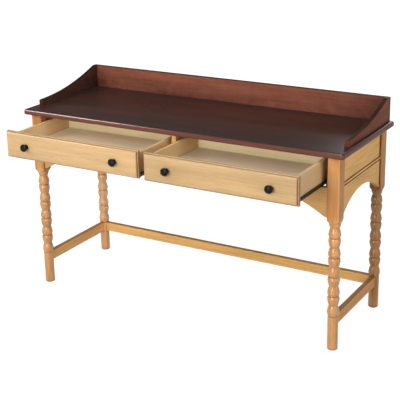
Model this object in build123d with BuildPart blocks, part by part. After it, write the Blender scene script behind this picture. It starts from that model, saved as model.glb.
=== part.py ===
"""Shaker sewing desk: a dark top with a raised gallery, on a light frame with bobbin-turned legs.

Millimetres, +Z up, +X to the sitter's right, +Y to the back of the desk.
The origin is on the floor, in the middle of the room that the desk takes with both drawers drawn out
as modelled.
"""

import os
from math import sqrt

from build123d import *

# Table top
TOP_WIDTH = 1372.0
TOP_DEPTH = 490.0
TOP_THICKNESS = 22.0
TOP_HEIGHT = 750.0
TOP_CORNER_RADIUS = 10.0
TOP_UPPER_ROUND = 9.0
TOP_LOWER_ROUND = 6.5
TOP_FRONT_OVERHANG = 23.0
TOP_SIDE_OVERHANG = 22.0
TOP_REAR_OVERHANG = 20.0

# Gallery round the back and sides of the top
GALLERY_THICKNESS = 17.0
GALLERY_BACK_RISE = 92.0
GALLERY_FRONT_RISE = 23.0
GALLERY_SIDE_INSET = 16.0
GALLERY_REAR_INSET = 10.0
GALLERY_FRONT_SETBACK = 84.0
GALLERY_SHOULDER = 30.0
GALLERY_EDGE_EASE = 2.0
GALLERY_HOUSING = 4.0

# Legs: a square block over a turned shaft on a plain foot
LEG_BLOCK = 45.0
LEG_BLOCK_HEIGHT = 223.0
LEG_COLLAR_DROP = 18.0
LEG_COLLAR_RADIUS = 22.0
NECK_RADIUS = 16.3
RIDGE_RADIUS = 22.3
GROOVE_RADIUS = 19.6
BOBBIN_COUNT = 4
TOP_NECK_DROP = 21.0
LOWEST_NECK_HEIGHT = 172.0
FOOT_HEIGHT = 132.0
FOOT_RADIUS = 19.5
FOOT_EASE = 2.5
LEG_COLLAR_BULGE = 3.0
BULB_BULGE = 1.1
# Places along one bobbin, as parts of its pitch, from the neck above
UPPER_RIDGE_PLACE = 0.35
GROOVE_PLACE = 0.49
LOWER_RIDGE_PLACE = 0.63

# Boards of the frame
FRAME_RECESS = 6.0
PANEL_THICKNESS = 16.0
VALANCE_THICKNESS = 18.0
PANEL_EXTRA_RECESS = 2.0
SIDE_PANEL_HEIGHT = 103.5
BEAD_HEIGHT = 10.0
BEAD_PROUD = 2.5
BEAD_ROUND = 4.0
QUIRK = 1.2
SIDE_ARCH_LAND = 9.0
SIDE_ARCH_RISE = 60.0
FRONT_ARCH_LAND = 10.0
FRONT_ARCH_RUN = 323.0
FRONT_RAIL_HEIGHT = 15.0
DRAWER_OPENING_HEIGHT = 107.5
BACK_PANEL_HEIGHT = 113.5
TOP_RAIL_THICKNESS = 7.0
TOP_RAIL_DEPTH = 60.0
POST_WIDTH = 18.0
TOP_CLEAT_SIZE = 18.0
TOP_CLEAT_LENGTH = 300.0

# Stretchers, tenoned into the feet
STRETCHER_TOP = 131.0
STRETCHER_HEIGHT = 38.0
STRETCHER_THICKNESS = 20.0
TENON_LENGTH = 12.0
TENON_HEIGHT = 24.0
TENON_THICKNESS = 9.0

# Drawers
DRAWN_LEFT = 220.0
DRAWN_RIGHT = 226.0
FRONT_THICKNESS = 20.0
FRONT_END_GAP = 5.0
FRONT_EDGE_GAP = 2.0
FRONT_EDGE_ROUND = 2.5
FIELD_INSET = 3.5
FIELD_RISE = 7.0
FIELD_ROUND = 6.5
BOX_LENGTH = 345.0
BOX_TOP_STEP = 13.0
BOX_HEIGHT = 78.0
BOX_WALL = 12.0
BOTTOM_LIFT = 15.0
BOTTOM_THICKNESS = 5.0
GROOVE_DEPTH = 6.0
GROOVE_SLACK = 0.2
KNOB_SPACING = 402.0
KNOB_RADIUS = 15.0
KNOB_PROJECTION = 24.0
KNOB_NECK_RADIUS = 6.5
KNOB_BASE_RADIUS = 9.0
KNOB_BASE_THICKNESS = 3.0
KNOB_BASE_FALL = 1.0
KNOB_HEAD_THICKNESS = 12.0
KNOB_RIM_RISE = 4.8
KNOB_SCREW_RADIUS = 4.5
KNOB_SCREW_HEIGHT = 2.5

# Roller slides and the wood that carries them
SLIDE_SPACE = 12.7
SLIDE_LENGTH = 340.0
SLIDE_SHEET = 1.2
CHANNEL_HEIGHT = 27.0
CHANNEL_LIP = 8.0
CHANNEL_START = 28.0
RAIL_WEB_HEIGHT = 15.0
RAIL_LIP = 11.0
RAIL_FLANGE = 8.0
ROLLER_RADIUS = 8.5
ROLLER_WIDTH = 7.6
ROLLER_END_DISTANCE = 12.0
ROLLER_CLEARANCE = 0.3
RAIL_COVER = 2.0
CLEAT_THICKNESS = 11.0
RUNNER_DROP = 17.0
RUNNER_HEIGHT = 58.0
CENTRE_RUNNER_WIDTH = 18.0

# How far a turning blank or a hidden join runs past the surface that trims it
OVERRUN = 1.0

# Places worked out from the sizes above
TOP_UNDERSIDE = TOP_HEIGHT - TOP_THICKNESS
DRAWER_REACH = max(DRAWN_LEFT, DRAWN_RIGHT) + KNOB_PROJECTION - TOP_FRONT_OVERHANG
TOP_MIDDLE_Y = DRAWER_REACH / 2
TOP_FRONT_Y = TOP_MIDDLE_Y - TOP_DEPTH / 2
TOP_REAR_Y = TOP_MIDDLE_Y + TOP_DEPTH / 2
TOP_SIDE_X = TOP_WIDTH / 2

FRAME_FRONT_Y = TOP_FRONT_Y + TOP_FRONT_OVERHANG
FRAME_REAR_Y = TOP_REAR_Y - TOP_REAR_OVERHANG
FRAME_SIDE_X = TOP_SIDE_X - TOP_SIDE_OVERHANG
LEG_X = FRAME_SIDE_X - LEG_BLOCK / 2
LEG_FRONT_Y = FRAME_FRONT_Y + LEG_BLOCK / 2
LEG_REAR_Y = FRAME_REAR_Y - LEG_BLOCK / 2
BLOCK_INNER_X = FRAME_SIDE_X - LEG_BLOCK
BLOCK_INNER_FRONT_Y = FRAME_FRONT_Y + LEG_BLOCK
BLOCK_INNER_REAR_Y = FRAME_REAR_Y - LEG_BLOCK

VALANCE_BACK_Y = FRAME_FRONT_Y + FRAME_RECESS + VALANCE_THICKNESS
BACK_PANEL_FRONT_Y = FRAME_REAR_Y - FRAME_RECESS - PANEL_THICKNESS
SIDE_INNER_X = FRAME_SIDE_X - FRAME_RECESS - VALANCE_THICKNESS
LEG_BLOCK_BOTTOM = TOP_UNDERSIDE - LEG_BLOCK_HEIGHT
LEG_COLLAR_BOTTOM = LEG_BLOCK_BOTTOM - LEG_COLLAR_DROP
TOP_NECK_HEIGHT = LEG_COLLAR_BOTTOM - TOP_NECK_DROP
BOBBIN_PITCH = (TOP_NECK_HEIGHT - LOWEST_NECK_HEIGHT) / BOBBIN_COUNT
BEAD_TOP = TOP_UNDERSIDE - SIDE_PANEL_HEIGHT
BEAD_BOTTOM = BEAD_TOP - BEAD_HEIGHT
TOP_RAIL_BOTTOM = TOP_UNDERSIDE - TOP_RAIL_THICKNESS
FRONT_RAIL_TOP = TOP_RAIL_BOTTOM - DRAWER_OPENING_HEIGHT
RUNNER_BOTTOM = FRONT_RAIL_TOP - RUNNER_DROP
RUNNER_TOP = RUNNER_BOTTOM + RUNNER_HEIGHT
STRETCHER_BOTTOM = STRETCHER_TOP - STRETCHER_HEIGHT

CLEAT_INNER_X = BLOCK_INNER_X - CLEAT_THICKNESS
BOX_OUTER_X = CLEAT_INNER_X - SLIDE_SPACE
BOX_INNER_X = CENTRE_RUNNER_WIDTH / 2 + SLIDE_SPACE
FRONT_INNER_X = POST_WIDTH / 2 + FRONT_END_GAP
FRONT_OUTER_X = BLOCK_INNER_X - FRONT_END_GAP
FRONT_BOTTOM = FRONT_RAIL_TOP + FRONT_EDGE_GAP
FRONT_TOP = TOP_RAIL_BOTTOM - FRONT_EDGE_GAP
KNOB_HEIGHT = (FRONT_BOTTOM + FRONT_TOP) / 2
BOX_TOP = FRONT_TOP - BOX_TOP_STEP
BOX_BOTTOM = BOX_TOP - BOX_HEIGHT

CHANNEL_FRONT_Y = FRAME_FRONT_Y + CHANNEL_START
RAIL_TOP = BOX_BOTTOM + RAIL_COVER
RAIL_BOTTOM = RAIL_TOP - RAIL_WEB_HEIGHT
FLANGE_UNDERSIDE = RAIL_TOP - SLIDE_SHEET
CHANNEL_ROLLER_Z = FLANGE_UNDERSIDE - ROLLER_CLEARANCE - ROLLER_RADIUS
CHANNEL_BOTTOM = CHANNEL_ROLLER_Z - ROLLER_RADIUS - ROLLER_CLEARANCE - SLIDE_SHEET
RAIL_ROLLER_Z = CHANNEL_BOTTOM + SLIDE_SHEET + ROLLER_CLEARANCE + ROLLER_RADIUS


def keep(piece: BuildPart, name: str) -> None:
    """Label a finished piece and write it under its own name."""
    piece.part.label = name
    export_step(piece.part, f"parts/{name}.step")


def ordered(first: float, second: float) -> tuple:
    """Two places as a range, low one first."""
    return (min(first, second), max(first, second))


def span(sign: int, inner: float, outer: float) -> tuple:
    """Range of X between two distances from the middle, on the side that the sign gives."""
    return ordered(sign * inner, sign * outer)


def fill_box(x_range: tuple, y_range: tuple, z_range: tuple, mode: Mode = Mode.ADD) -> None:
    """Add or cut a square-cut block between three ranges, inside the part being built."""
    middle = tuple((low + high) / 2 for low, high in (x_range, y_range, z_range))
    size = tuple(abs(high - low) for low, high in (x_range, y_range, z_range))
    with Locations(middle):
        Box(*size, mode=mode)


def upright_axis(x: float, y: float) -> Axis:
    """Vertical axis through a point of the floor."""
    return Axis((x, y, 0), (0, 0, 1))


def stretcher_tenon(x: float, y: float, toward_x: float, toward_y: float, mode: Mode) -> None:
    """Add a tenon at a leg's middle or cut its mortise; the tenon points from the leg along one axis."""
    reach = FOOT_RADIUS + OVERRUN
    start = FOOT_RADIUS - TENON_LENGTH
    z_middle = STRETCHER_BOTTOM + STRETCHER_HEIGHT / 2
    z_range = (z_middle - TENON_HEIGHT / 2, z_middle + TENON_HEIGHT / 2)
    half = TENON_THICKNESS / 2
    if toward_x:
        x_range = ordered(x + toward_x * start, x + toward_x * reach)
        fill_box(x_range, (y - half, y + half), z_range, mode)
    else:
        y_range = ordered(y + toward_y * start, y + toward_y * reach)
        fill_box((x - half, x + half), y_range, z_range, mode)


def leg_outline(top: float) -> None:
    """Draw half of a leg's turned outline, radius against height, up to the given height."""
    collar = (LEG_COLLAR_RADIUS, LEG_COLLAR_BOTTOM)
    beyond_corner = LEG_BLOCK / sqrt(2) + OVERRUN
    Polyline(
        (0, top),
        (beyond_corner, top),
        (beyond_corner, LEG_BLOCK_BOTTOM),
    )
    SagittaArc((beyond_corner, LEG_BLOCK_BOTTOM), collar, LEG_COLLAR_BULGE)
    SagittaArc(collar, (NECK_RADIUS, TOP_NECK_HEIGHT), BULB_BULGE)
    for bobbin in range(BOBBIN_COUNT):
        neck = TOP_NECK_HEIGHT - bobbin * BOBBIN_PITCH
        upper = (RIDGE_RADIUS, neck - UPPER_RIDGE_PLACE * BOBBIN_PITCH)
        groove = (GROOVE_RADIUS, neck - GROOVE_PLACE * BOBBIN_PITCH)
        lower = (RIDGE_RADIUS, neck - LOWER_RIDGE_PLACE * BOBBIN_PITCH)
        SagittaArc((NECK_RADIUS, neck), upper, BULB_BULGE)
        Polyline(upper, groove, lower)
        SagittaArc(lower, (NECK_RADIUS, neck - BOBBIN_PITCH), BULB_BULGE)
    last_ridge = (RIDGE_RADIUS, LOWEST_NECK_HEIGHT - UPPER_RIDGE_PLACE * BOBBIN_PITCH)
    SagittaArc((NECK_RADIUS, LOWEST_NECK_HEIGHT), last_ridge, BULB_BULGE)
    Polyline(
        last_ridge,
        (FOOT_RADIUS, FOOT_HEIGHT),
        (FOOT_RADIUS, FOOT_EASE),
        (FOOT_RADIUS - FOOT_EASE, 0),
        (0, 0),
        (0, top),
    )


def make_leg(name: str, x: float, y: float, tenons: tuple) -> None:
    """Turn one leg, square its block and cut the mortises that its stretchers enter."""
    with BuildPart() as leg:
        with BuildSketch(Plane(origin=(x, y, 0), x_dir=(1, 0, 0), z_dir=(0, -1, 0))):
            with BuildLine():
                leg_outline(TOP_UNDERSIDE)
            make_face()
        revolve(axis=upright_axis(x, y))
        with BuildSketch(Plane.XY):
            with Locations((x, y)):
                Rectangle(LEG_BLOCK, LEG_BLOCK)
        extrude(amount=TOP_UNDERSIDE, mode=Mode.INTERSECT)
        for toward_x, toward_y in tenons:
            stretcher_tenon(x, y, toward_x, toward_y, Mode.SUBTRACT)
    keep(leg, name)


def scribe_to_foot(x: float, y: float) -> None:
    """Cut the part being built back to the round surface of a leg's foot."""
    with Locations((x, y, FOOT_HEIGHT / 2)):
        Cylinder(FOOT_RADIUS, FOOT_HEIGHT, mode=Mode.SUBTRACT)


def make_board(name: str, x_range: tuple, y_range: tuple, z_range: tuple) -> None:
    """Make a plain square-cut board."""
    with BuildPart() as board:
        fill_box(x_range, y_range, z_range)
    keep(board, name)


# Table top with a thumb-moulded edge and shallow housings that the gallery's boards stand in
GALLERY_SIDE_X = TOP_SIDE_X - GALLERY_SIDE_INSET
GALLERY_REAR_Y = TOP_REAR_Y - GALLERY_REAR_INSET
GALLERY_BACK_FRONT_Y = GALLERY_REAR_Y - GALLERY_THICKNESS
GALLERY_FRONT_Y = TOP_FRONT_Y + GALLERY_FRONT_SETBACK
GALLERY_TOP = TOP_HEIGHT + GALLERY_BACK_RISE
GALLERY_FOOT = TOP_HEIGHT - GALLERY_HOUSING

with BuildPart() as table_top:
    with BuildSketch(Plane.XY.offset(TOP_UNDERSIDE)):
        with Locations((0, TOP_MIDDLE_Y)):
            RectangleRounded(TOP_WIDTH, TOP_DEPTH, TOP_CORNER_RADIUS)
    extrude(amount=TOP_THICKNESS)
    fillet(table_top.faces().sort_by(Axis.Z)[-1].edges(), TOP_UPPER_ROUND)
    fillet(table_top.faces().sort_by(Axis.Z)[0].edges(), TOP_LOWER_ROUND)
    fill_box(
        (-GALLERY_SIDE_X, GALLERY_SIDE_X),
        (GALLERY_BACK_FRONT_Y, GALLERY_REAR_Y),
        (GALLERY_FOOT, TOP_HEIGHT),
        Mode.SUBTRACT,
    )
    for sign in (-1, 1):
        fill_box(
            span(sign, GALLERY_SIDE_X - GALLERY_THICKNESS, GALLERY_SIDE_X),
            (GALLERY_FRONT_Y, GALLERY_REAR_Y),
            (GALLERY_FOOT, TOP_HEIGHT),
            Mode.SUBTRACT,
        )
keep(table_top, "table_top")

# Gallery: the back board runs behind the ends of the two curved side boards
with BuildPart() as gallery_back:
    fill_box(
        (-GALLERY_SIDE_X, GALLERY_SIDE_X),
        (GALLERY_BACK_FRONT_Y, GALLERY_REAR_Y),
        (GALLERY_FOOT, GALLERY_TOP),
    )
    long_edges = gallery_back.edges().filter_by(Axis.X).group_by(Axis.Z)[-1]
    chamfer(long_edges, GALLERY_EDGE_EASE)
keep(gallery_back, "gallery_back")

for side, sign in (("left", -1), ("right", 1)):
    shoulder_y = GALLERY_BACK_FRONT_Y - GALLERY_SHOULDER + GALLERY_THICKNESS
    with BuildPart() as gallery_side:
        with BuildSketch(Plane.YZ.offset(sign * GALLERY_SIDE_X)):
            with BuildLine():
                Line((GALLERY_FRONT_Y, GALLERY_FOOT), (GALLERY_FRONT_Y, TOP_HEIGHT + GALLERY_FRONT_RISE))
                TangentArc(
                    (GALLERY_FRONT_Y, TOP_HEIGHT + GALLERY_FRONT_RISE),
                    (shoulder_y, GALLERY_TOP),
                    tangent=(1, 0),
                )
                Polyline(
                    (shoulder_y, GALLERY_TOP),
                    (GALLERY_BACK_FRONT_Y, GALLERY_TOP),
                    (GALLERY_BACK_FRONT_Y, GALLERY_FOOT),
                    (GALLERY_FRONT_Y, GALLERY_FOOT),
                )
            make_face()
        extrude(amount=-sign * GALLERY_THICKNESS)
        curved_edges = gallery_side.edges().filter_by(GeomType.CIRCLE)
        chamfer(curved_edges, GALLERY_EDGE_EASE)
    keep(gallery_side, f"gallery_{side}")

# Legs: every foot takes a side stretcher, and the rear feet take the long stretcher as well
make_leg("leg_front_left", -LEG_X, LEG_FRONT_Y, ((0, 1),))
make_leg("leg_front_right", LEG_X, LEG_FRONT_Y, ((0, 1),))
make_leg("leg_rear_left", -LEG_X, LEG_REAR_Y, ((0, -1), (1, 0)))
make_leg("leg_rear_right", LEG_X, LEG_REAR_Y, ((0, -1), (-1, 0)))

# Stretchers with tenons and shoulders scribed to the round feet
STRETCHER_Z = (STRETCHER_BOTTOM, STRETCHER_TOP)
for side, sign in (("left", -1), ("right", 1)):
    leg_x = sign * LEG_X
    with BuildPart() as stretcher:
        fill_box(
            (leg_x - STRETCHER_THICKNESS / 2, leg_x + STRETCHER_THICKNESS / 2),
            (LEG_FRONT_Y, LEG_REAR_Y),
            STRETCHER_Z,
        )
        scribe_to_foot(leg_x, LEG_FRONT_Y)
        scribe_to_foot(leg_x, LEG_REAR_Y)
        stretcher_tenon(leg_x, LEG_FRONT_Y, 0, 1, Mode.ADD)
        stretcher_tenon(leg_x, LEG_REAR_Y, 0, -1, Mode.ADD)
    keep(stretcher, f"stretcher_{side}")

with BuildPart() as stretcher_rear:
    fill_box(
        (-LEG_X, LEG_X),
        (LEG_REAR_Y - STRETCHER_THICKNESS / 2, LEG_REAR_Y + STRETCHER_THICKNESS / 2),
        STRETCHER_Z,
    )
    for sign in (-1, 1):
        scribe_to_foot(sign * LEG_X, LEG_REAR_Y)
        stretcher_tenon(sign * LEG_X, LEG_REAR_Y, -sign, 0, Mode.ADD)
keep(stretcher_rear, "stretcher_rear")

# Sides of the frame: a recessed panel, a bead and an arched valance between the legs' blocks
SIDE_Y = (BLOCK_INNER_FRONT_Y, BLOCK_INNER_REAR_Y)
SIDE_MIDDLE_Y = sum(SIDE_Y) / 2
VALANCE_FACE_X = FRAME_SIDE_X - FRAME_RECESS
PANEL_FACE_X = VALANCE_FACE_X - PANEL_EXTRA_RECESS

for side, sign in (("left", -1), ("right", 1)):
    make_board(
        f"side_panel_{side}",
        span(sign, SIDE_INNER_X, PANEL_FACE_X),
        SIDE_Y,
        (BEAD_TOP, TOP_UNDERSIDE),
    )

    with BuildPart() as bead:
        fill_box(span(sign, SIDE_INNER_X, VALANCE_FACE_X + BEAD_PROUD), SIDE_Y, (BEAD_BOTTOM, BEAD_TOP))
        outer_edges = bead.edges().filter_by(Axis.Y).sort_by(Axis.X, reverse=sign > 0)[:2]
        fillet(outer_edges, BEAD_ROUND)
    keep(bead, f"side_bead_{side}")

    arch_front_y = BLOCK_INNER_FRONT_Y + SIDE_ARCH_LAND
    arch_rear_y = BLOCK_INNER_REAR_Y - SIDE_ARCH_LAND
    with BuildPart() as valance:
        with BuildSketch(Plane.YZ.offset(sign * VALANCE_FACE_X)):
            with BuildLine():
                Polyline(
                    (arch_front_y, LEG_BLOCK_BOTTOM),
                    (BLOCK_INNER_FRONT_Y, LEG_BLOCK_BOTTOM),
                    (BLOCK_INNER_FRONT_Y, BEAD_BOTTOM),
                    (BLOCK_INNER_REAR_Y, BEAD_BOTTOM),
                    (BLOCK_INNER_REAR_Y, LEG_BLOCK_BOTTOM),
                    (arch_rear_y, LEG_BLOCK_BOTTOM),
                )
                ThreePointArc(
                    (arch_rear_y, LEG_BLOCK_BOTTOM),
                    (SIDE_MIDDLE_Y, LEG_BLOCK_BOTTOM + SIDE_ARCH_RISE),
                    (arch_front_y, LEG_BLOCK_BOTTOM),
                )
            make_face()
        extrude(amount=-sign * VALANCE_THICKNESS)
        upper_outer = valance.edges().filter_by(Axis.Y).group_by(Axis.Z)[-1]
        chamfer(upper_outer.sort_by(Axis.X, reverse=sign > 0)[0], QUIRK)
    keep(valance, f"side_valance_{side}")

    make_board(
        f"top_cleat_{side}",
        span(sign, SIDE_INNER_X - TOP_CLEAT_SIZE, SIDE_INNER_X),
        (SIDE_MIDDLE_Y - TOP_CLEAT_LENGTH / 2, SIDE_MIDDLE_Y + TOP_CLEAT_LENGTH / 2),
        (TOP_UNDERSIDE - TOP_CLEAT_SIZE, TOP_UNDERSIDE),
    )
    make_board(
        f"runner_cleat_{side}",
        span(sign, CLEAT_INNER_X, BLOCK_INNER_X),
        (VALANCE_BACK_Y, BACK_PANEL_FRONT_Y),
        (RUNNER_BOTTOM, RUNNER_TOP),
    )

make_board(
    "back_panel",
    (-BLOCK_INNER_X, BLOCK_INNER_X),
    (BACK_PANEL_FRONT_Y, BACK_PANEL_FRONT_Y + PANEL_THICKNESS),
    (TOP_UNDERSIDE - BACK_PANEL_HEIGHT, TOP_UNDERSIDE),
)

# Front of the frame: a long valance that arches up from each leg, a post and a thin rail over them
with BuildPart() as front_valance:
    with BuildSketch(Plane.XZ.offset(-(FRAME_FRONT_Y + FRAME_RECESS))):
        arch_foot_x = BLOCK_INNER_X - FRONT_ARCH_LAND
        arch_head_x = arch_foot_x - FRONT_ARCH_RUN
        rail_underside = FRONT_RAIL_TOP - FRONT_RAIL_HEIGHT
        with BuildLine():
            Polyline(
                (-arch_foot_x, LEG_BLOCK_BOTTOM),
                (-BLOCK_INNER_X, LEG_BLOCK_BOTTOM),
                (-BLOCK_INNER_X, FRONT_RAIL_TOP),
                (BLOCK_INNER_X, FRONT_RAIL_TOP),
                (BLOCK_INNER_X, LEG_BLOCK_BOTTOM),
                (arch_foot_x, LEG_BLOCK_BOTTOM),
            )
            TangentArc((arch_head_x, rail_underside), (arch_foot_x, LEG_BLOCK_BOTTOM), tangent=(1, 0))
            Line((arch_head_x, rail_underside), (-arch_head_x, rail_underside))
            TangentArc((-arch_head_x, rail_underside), (-arch_foot_x, LEG_BLOCK_BOTTOM), tangent=(-1, 0))
        make_face()
    extrude(amount=-VALANCE_THICKNESS)
keep(front_valance, "front_valance")

make_board(
    "centre_post",
    (-POST_WIDTH / 2, POST_WIDTH / 2),
    (FRAME_FRONT_Y + FRAME_RECESS, VALANCE_BACK_Y),
    (FRONT_RAIL_TOP, TOP_RAIL_BOTTOM),
)
make_board(
    "top_rail",
    (-BLOCK_INNER_X, BLOCK_INNER_X),
    (FRAME_FRONT_Y + FRAME_RECESS, FRAME_FRONT_Y + FRAME_RECESS + TOP_RAIL_DEPTH),
    (TOP_RAIL_BOTTOM, TOP_UNDERSIDE),
)
make_board(
    "centre_runner",
    (-CENTRE_RUNNER_WIDTH / 2, CENTRE_RUNNER_WIDTH / 2),
    (VALANCE_BACK_Y, BACK_PANEL_FRONT_Y),
    (RUNNER_BOTTOM, RUNNER_TOP),
)


def add_roller(wall_x: float, away: int, y: float, z: float) -> None:
    """Add a nylon roller, beside the web of a slide that is screwed to a wall, to the part being built."""
    middle_x = wall_x + away * (SLIDE_SHEET + ROLLER_WIDTH / 2)
    with Locations((middle_x, y, z)):
        Cylinder(ROLLER_RADIUS, ROLLER_WIDTH, rotation=(0, 90, 0))


def make_channel(name: str, wall_x: float, away: int) -> None:
    """Make the frame's half of a slide, a channel that opens away from the wood it is screwed to."""
    y_range = (CHANNEL_FRONT_Y, CHANNEL_FRONT_Y + SLIDE_LENGTH)
    web_x = wall_x + away * SLIDE_SHEET
    lip_x = web_x + away * CHANNEL_LIP
    channel_top = CHANNEL_BOTTOM + CHANNEL_HEIGHT
    with BuildPart() as channel:
        fill_box(ordered(wall_x, web_x), y_range, (CHANNEL_BOTTOM, channel_top))
        fill_box(ordered(wall_x, lip_x), y_range, (CHANNEL_BOTTOM, CHANNEL_BOTTOM + SLIDE_SHEET))
        fill_box(ordered(wall_x, lip_x), y_range, (channel_top - SLIDE_SHEET, channel_top))
    keep(channel, name)


def make_rail(name: str, wall_x: float, away: int, start_y: float) -> None:
    """Make a drawer's half of a slide: an angle under the drawer's side, with a flange for the rollers."""
    y_range = (start_y, start_y + SLIDE_LENGTH)
    web_x = wall_x + away * SLIDE_SHEET
    with BuildPart() as rail:
        fill_box(ordered(wall_x, web_x), y_range, (RAIL_BOTTOM, RAIL_TOP))
        fill_box(
            ordered(web_x, web_x + away * RAIL_FLANGE),
            y_range,
            (FLANGE_UNDERSIDE, RAIL_TOP),
        )
        fill_box(
            ordered(wall_x - away * RAIL_LIP, wall_x),
            y_range,
            (BOX_BOTTOM - SLIDE_SHEET, BOX_BOTTOM),
        )
    keep(rail, name)


def add_knob(x: float, face_y: float) -> None:
    """Add a round knob, with a flanged base, a waist and a domed head, to the part being built."""
    head_back = KNOB_PROJECTION - KNOB_HEAD_THICKNESS
    rim = head_back + KNOB_RIM_RISE
    with BuildSketch(Plane(origin=(x, face_y, KNOB_HEIGHT), x_dir=(1, 0, 0), z_dir=(0, 0, 1))) as section:
        with BuildLine():
            Polyline(
                (0, 0),
                (KNOB_BASE_RADIUS, 0),
                (KNOB_BASE_RADIUS, -KNOB_BASE_THICKNESS),
                (KNOB_NECK_RADIUS, -KNOB_BASE_THICKNESS - KNOB_BASE_FALL),
                (KNOB_NECK_RADIUS, -head_back),
                (KNOB_RADIUS, -rim),
            )
            TangentArc((0, -KNOB_PROJECTION), (KNOB_RADIUS, -rim), tangent=(1, 0))
            Line((0, -KNOB_PROJECTION), (0, 0))
        make_face()
    revolve(section.sketch, axis=Axis((x, face_y, KNOB_HEIGHT), (0, 1, 0)))


def make_drawer(side: str, sign: int, drawn: float) -> None:
    """Make one drawer, drawn out by the given distance, with its half of the slides."""
    face_y = FRAME_FRONT_Y - drawn
    box_front_y = face_y + FRONT_THICKNESS
    box_rear_y = box_front_y + BOX_LENGTH
    floor_z = (BOX_BOTTOM + BOTTOM_LIFT, BOX_BOTTOM + BOTTOM_LIFT + BOTTOM_THICKNESS)
    groove_z = (floor_z[0] - GROOVE_SLACK, floor_z[1] + GROOVE_SLACK)
    panel_reach = GROOVE_DEPTH - GROOVE_SLACK
    inside_x = (BOX_INNER_X + BOX_WALL, BOX_OUTER_X - BOX_WALL)
    walls = {"inner": (BOX_INNER_X, 1), "outer": (BOX_OUTER_X, -1)}
    name = f"drawer_{side}"

    field_foot_y = face_y + FIELD_RISE
    front_x = span(sign, FRONT_INNER_X, FRONT_OUTER_X)
    field_x = span(sign, FRONT_INNER_X + FIELD_INSET, FRONT_OUTER_X - FIELD_INSET)
    field_z = (FRONT_BOTTOM + FIELD_INSET, FRONT_TOP - FIELD_INSET)
    with BuildPart() as front:
        fill_box(front_x, (field_foot_y, box_front_y), (FRONT_BOTTOM, FRONT_TOP))
        fillet(front.faces().sort_by(Axis.Y)[0].edges(), FRONT_EDGE_ROUND)
        fill_box(field_x, (face_y, field_foot_y), field_z)
        fillet(front.faces().sort_by(Axis.Y)[0].edges(), FIELD_ROUND)
        groove_x = span(sign, inside_x[0] - GROOVE_DEPTH, inside_x[1] + GROOVE_DEPTH)
        fill_box(groove_x, (box_front_y - GROOVE_DEPTH, box_front_y), groove_z, Mode.SUBTRACT)
    keep(front, f"{name}_front")

    with BuildPart() as rollers:
        for outer_face, inward in walls.values():
            roller_y = box_front_y + SLIDE_LENGTH - ROLLER_END_DISTANCE
            add_roller(sign * outer_face, -sign * inward, roller_y, RAIL_ROLLER_Z)
    keep(rollers, f"{name}_rollers")

    for place, (outer_face, inward) in walls.items():
        inner_face = outer_face + inward * BOX_WALL
        groove_face = inner_face - inward * GROOVE_DEPTH
        with BuildPart() as wall:
            fill_box(span(sign, outer_face, inner_face), (box_front_y, box_rear_y), (BOX_BOTTOM, BOX_TOP))
            fill_box(span(sign, groove_face, inner_face), (box_front_y, box_rear_y), groove_z, Mode.SUBTRACT)
        keep(wall, f"{name}_side_{place}")
        make_rail(f"{name}_rail_{place}", sign * outer_face, -sign * inward, box_front_y)

    make_board(
        f"{name}_back",
        span(sign, *inside_x),
        (box_rear_y - BOX_WALL, box_rear_y),
        (floor_z[1], BOX_TOP),
    )
    make_board(
        f"{name}_bottom",
        span(sign, inside_x[0] - panel_reach, inside_x[1] + panel_reach),
        (box_front_y - panel_reach, box_rear_y),
        floor_z,
    )

    middle_x = (FRONT_INNER_X + FRONT_OUTER_X) / 2
    knob_places = (sign * (middle_x - KNOB_SPACING / 2), sign * (middle_x + KNOB_SPACING / 2))
    with BuildPart() as knobs:
        for knob_x in knob_places:
            add_knob(knob_x, face_y)
    keep(knobs, f"{name}_knobs")
    with BuildPart() as screws:
        with BuildSketch(Plane.XZ.offset(-box_front_y)):
            with Locations(*((knob_x, KNOB_HEIGHT) for knob_x in knob_places)):
                Circle(KNOB_SCREW_RADIUS)
        extrude(amount=-KNOB_SCREW_HEIGHT)
    keep(screws, f"{name}_knob_screws")


channels = {}
for side, sign in (("left", -1), ("right", 1)):
    channels[f"channel_{side}_outer"] = (sign * CLEAT_INNER_X, -sign)
    channels[f"channel_{side}_inner"] = (sign * CENTRE_RUNNER_WIDTH / 2, sign)
for name, (wall_x, away) in channels.items():
    make_channel(name, wall_x, away)

with BuildPart() as channel_rollers:
    for wall_x, away in channels.values():
        add_roller(wall_x, away, CHANNEL_FRONT_Y + ROLLER_END_DISTANCE, CHANNEL_ROLLER_Z)
keep(channel_rollers, "channel_rollers")

make_drawer("left", -1, DRAWN_LEFT)
make_drawer("right", 1, DRAWN_RIGHT)
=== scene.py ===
"""Looks of the bobbin-leg sewing desk: finishes, fine meshes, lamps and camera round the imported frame."""

from __future__ import annotations

import logging
import math
from dataclasses import dataclass, field, replace
from enum import Enum
from typing import Sequence, Union

import bmesh
import bpy
from mathutils import Matrix, Vector


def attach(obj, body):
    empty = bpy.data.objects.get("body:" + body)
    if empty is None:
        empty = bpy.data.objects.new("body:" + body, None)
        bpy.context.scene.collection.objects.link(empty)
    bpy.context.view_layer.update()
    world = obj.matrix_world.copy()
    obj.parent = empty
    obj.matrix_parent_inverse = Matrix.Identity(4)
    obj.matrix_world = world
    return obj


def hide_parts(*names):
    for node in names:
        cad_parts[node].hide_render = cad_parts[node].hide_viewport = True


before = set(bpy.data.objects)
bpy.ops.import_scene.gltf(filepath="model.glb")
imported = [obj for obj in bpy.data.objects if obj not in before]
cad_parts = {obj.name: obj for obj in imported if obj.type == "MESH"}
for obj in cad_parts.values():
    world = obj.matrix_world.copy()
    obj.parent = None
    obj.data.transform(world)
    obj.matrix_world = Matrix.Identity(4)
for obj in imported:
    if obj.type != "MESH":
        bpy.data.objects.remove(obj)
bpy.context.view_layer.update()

LOG = logging.getLogger("sewing_desk")
MM = 0.001
FRAME_PIXELS = 400.0
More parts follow.
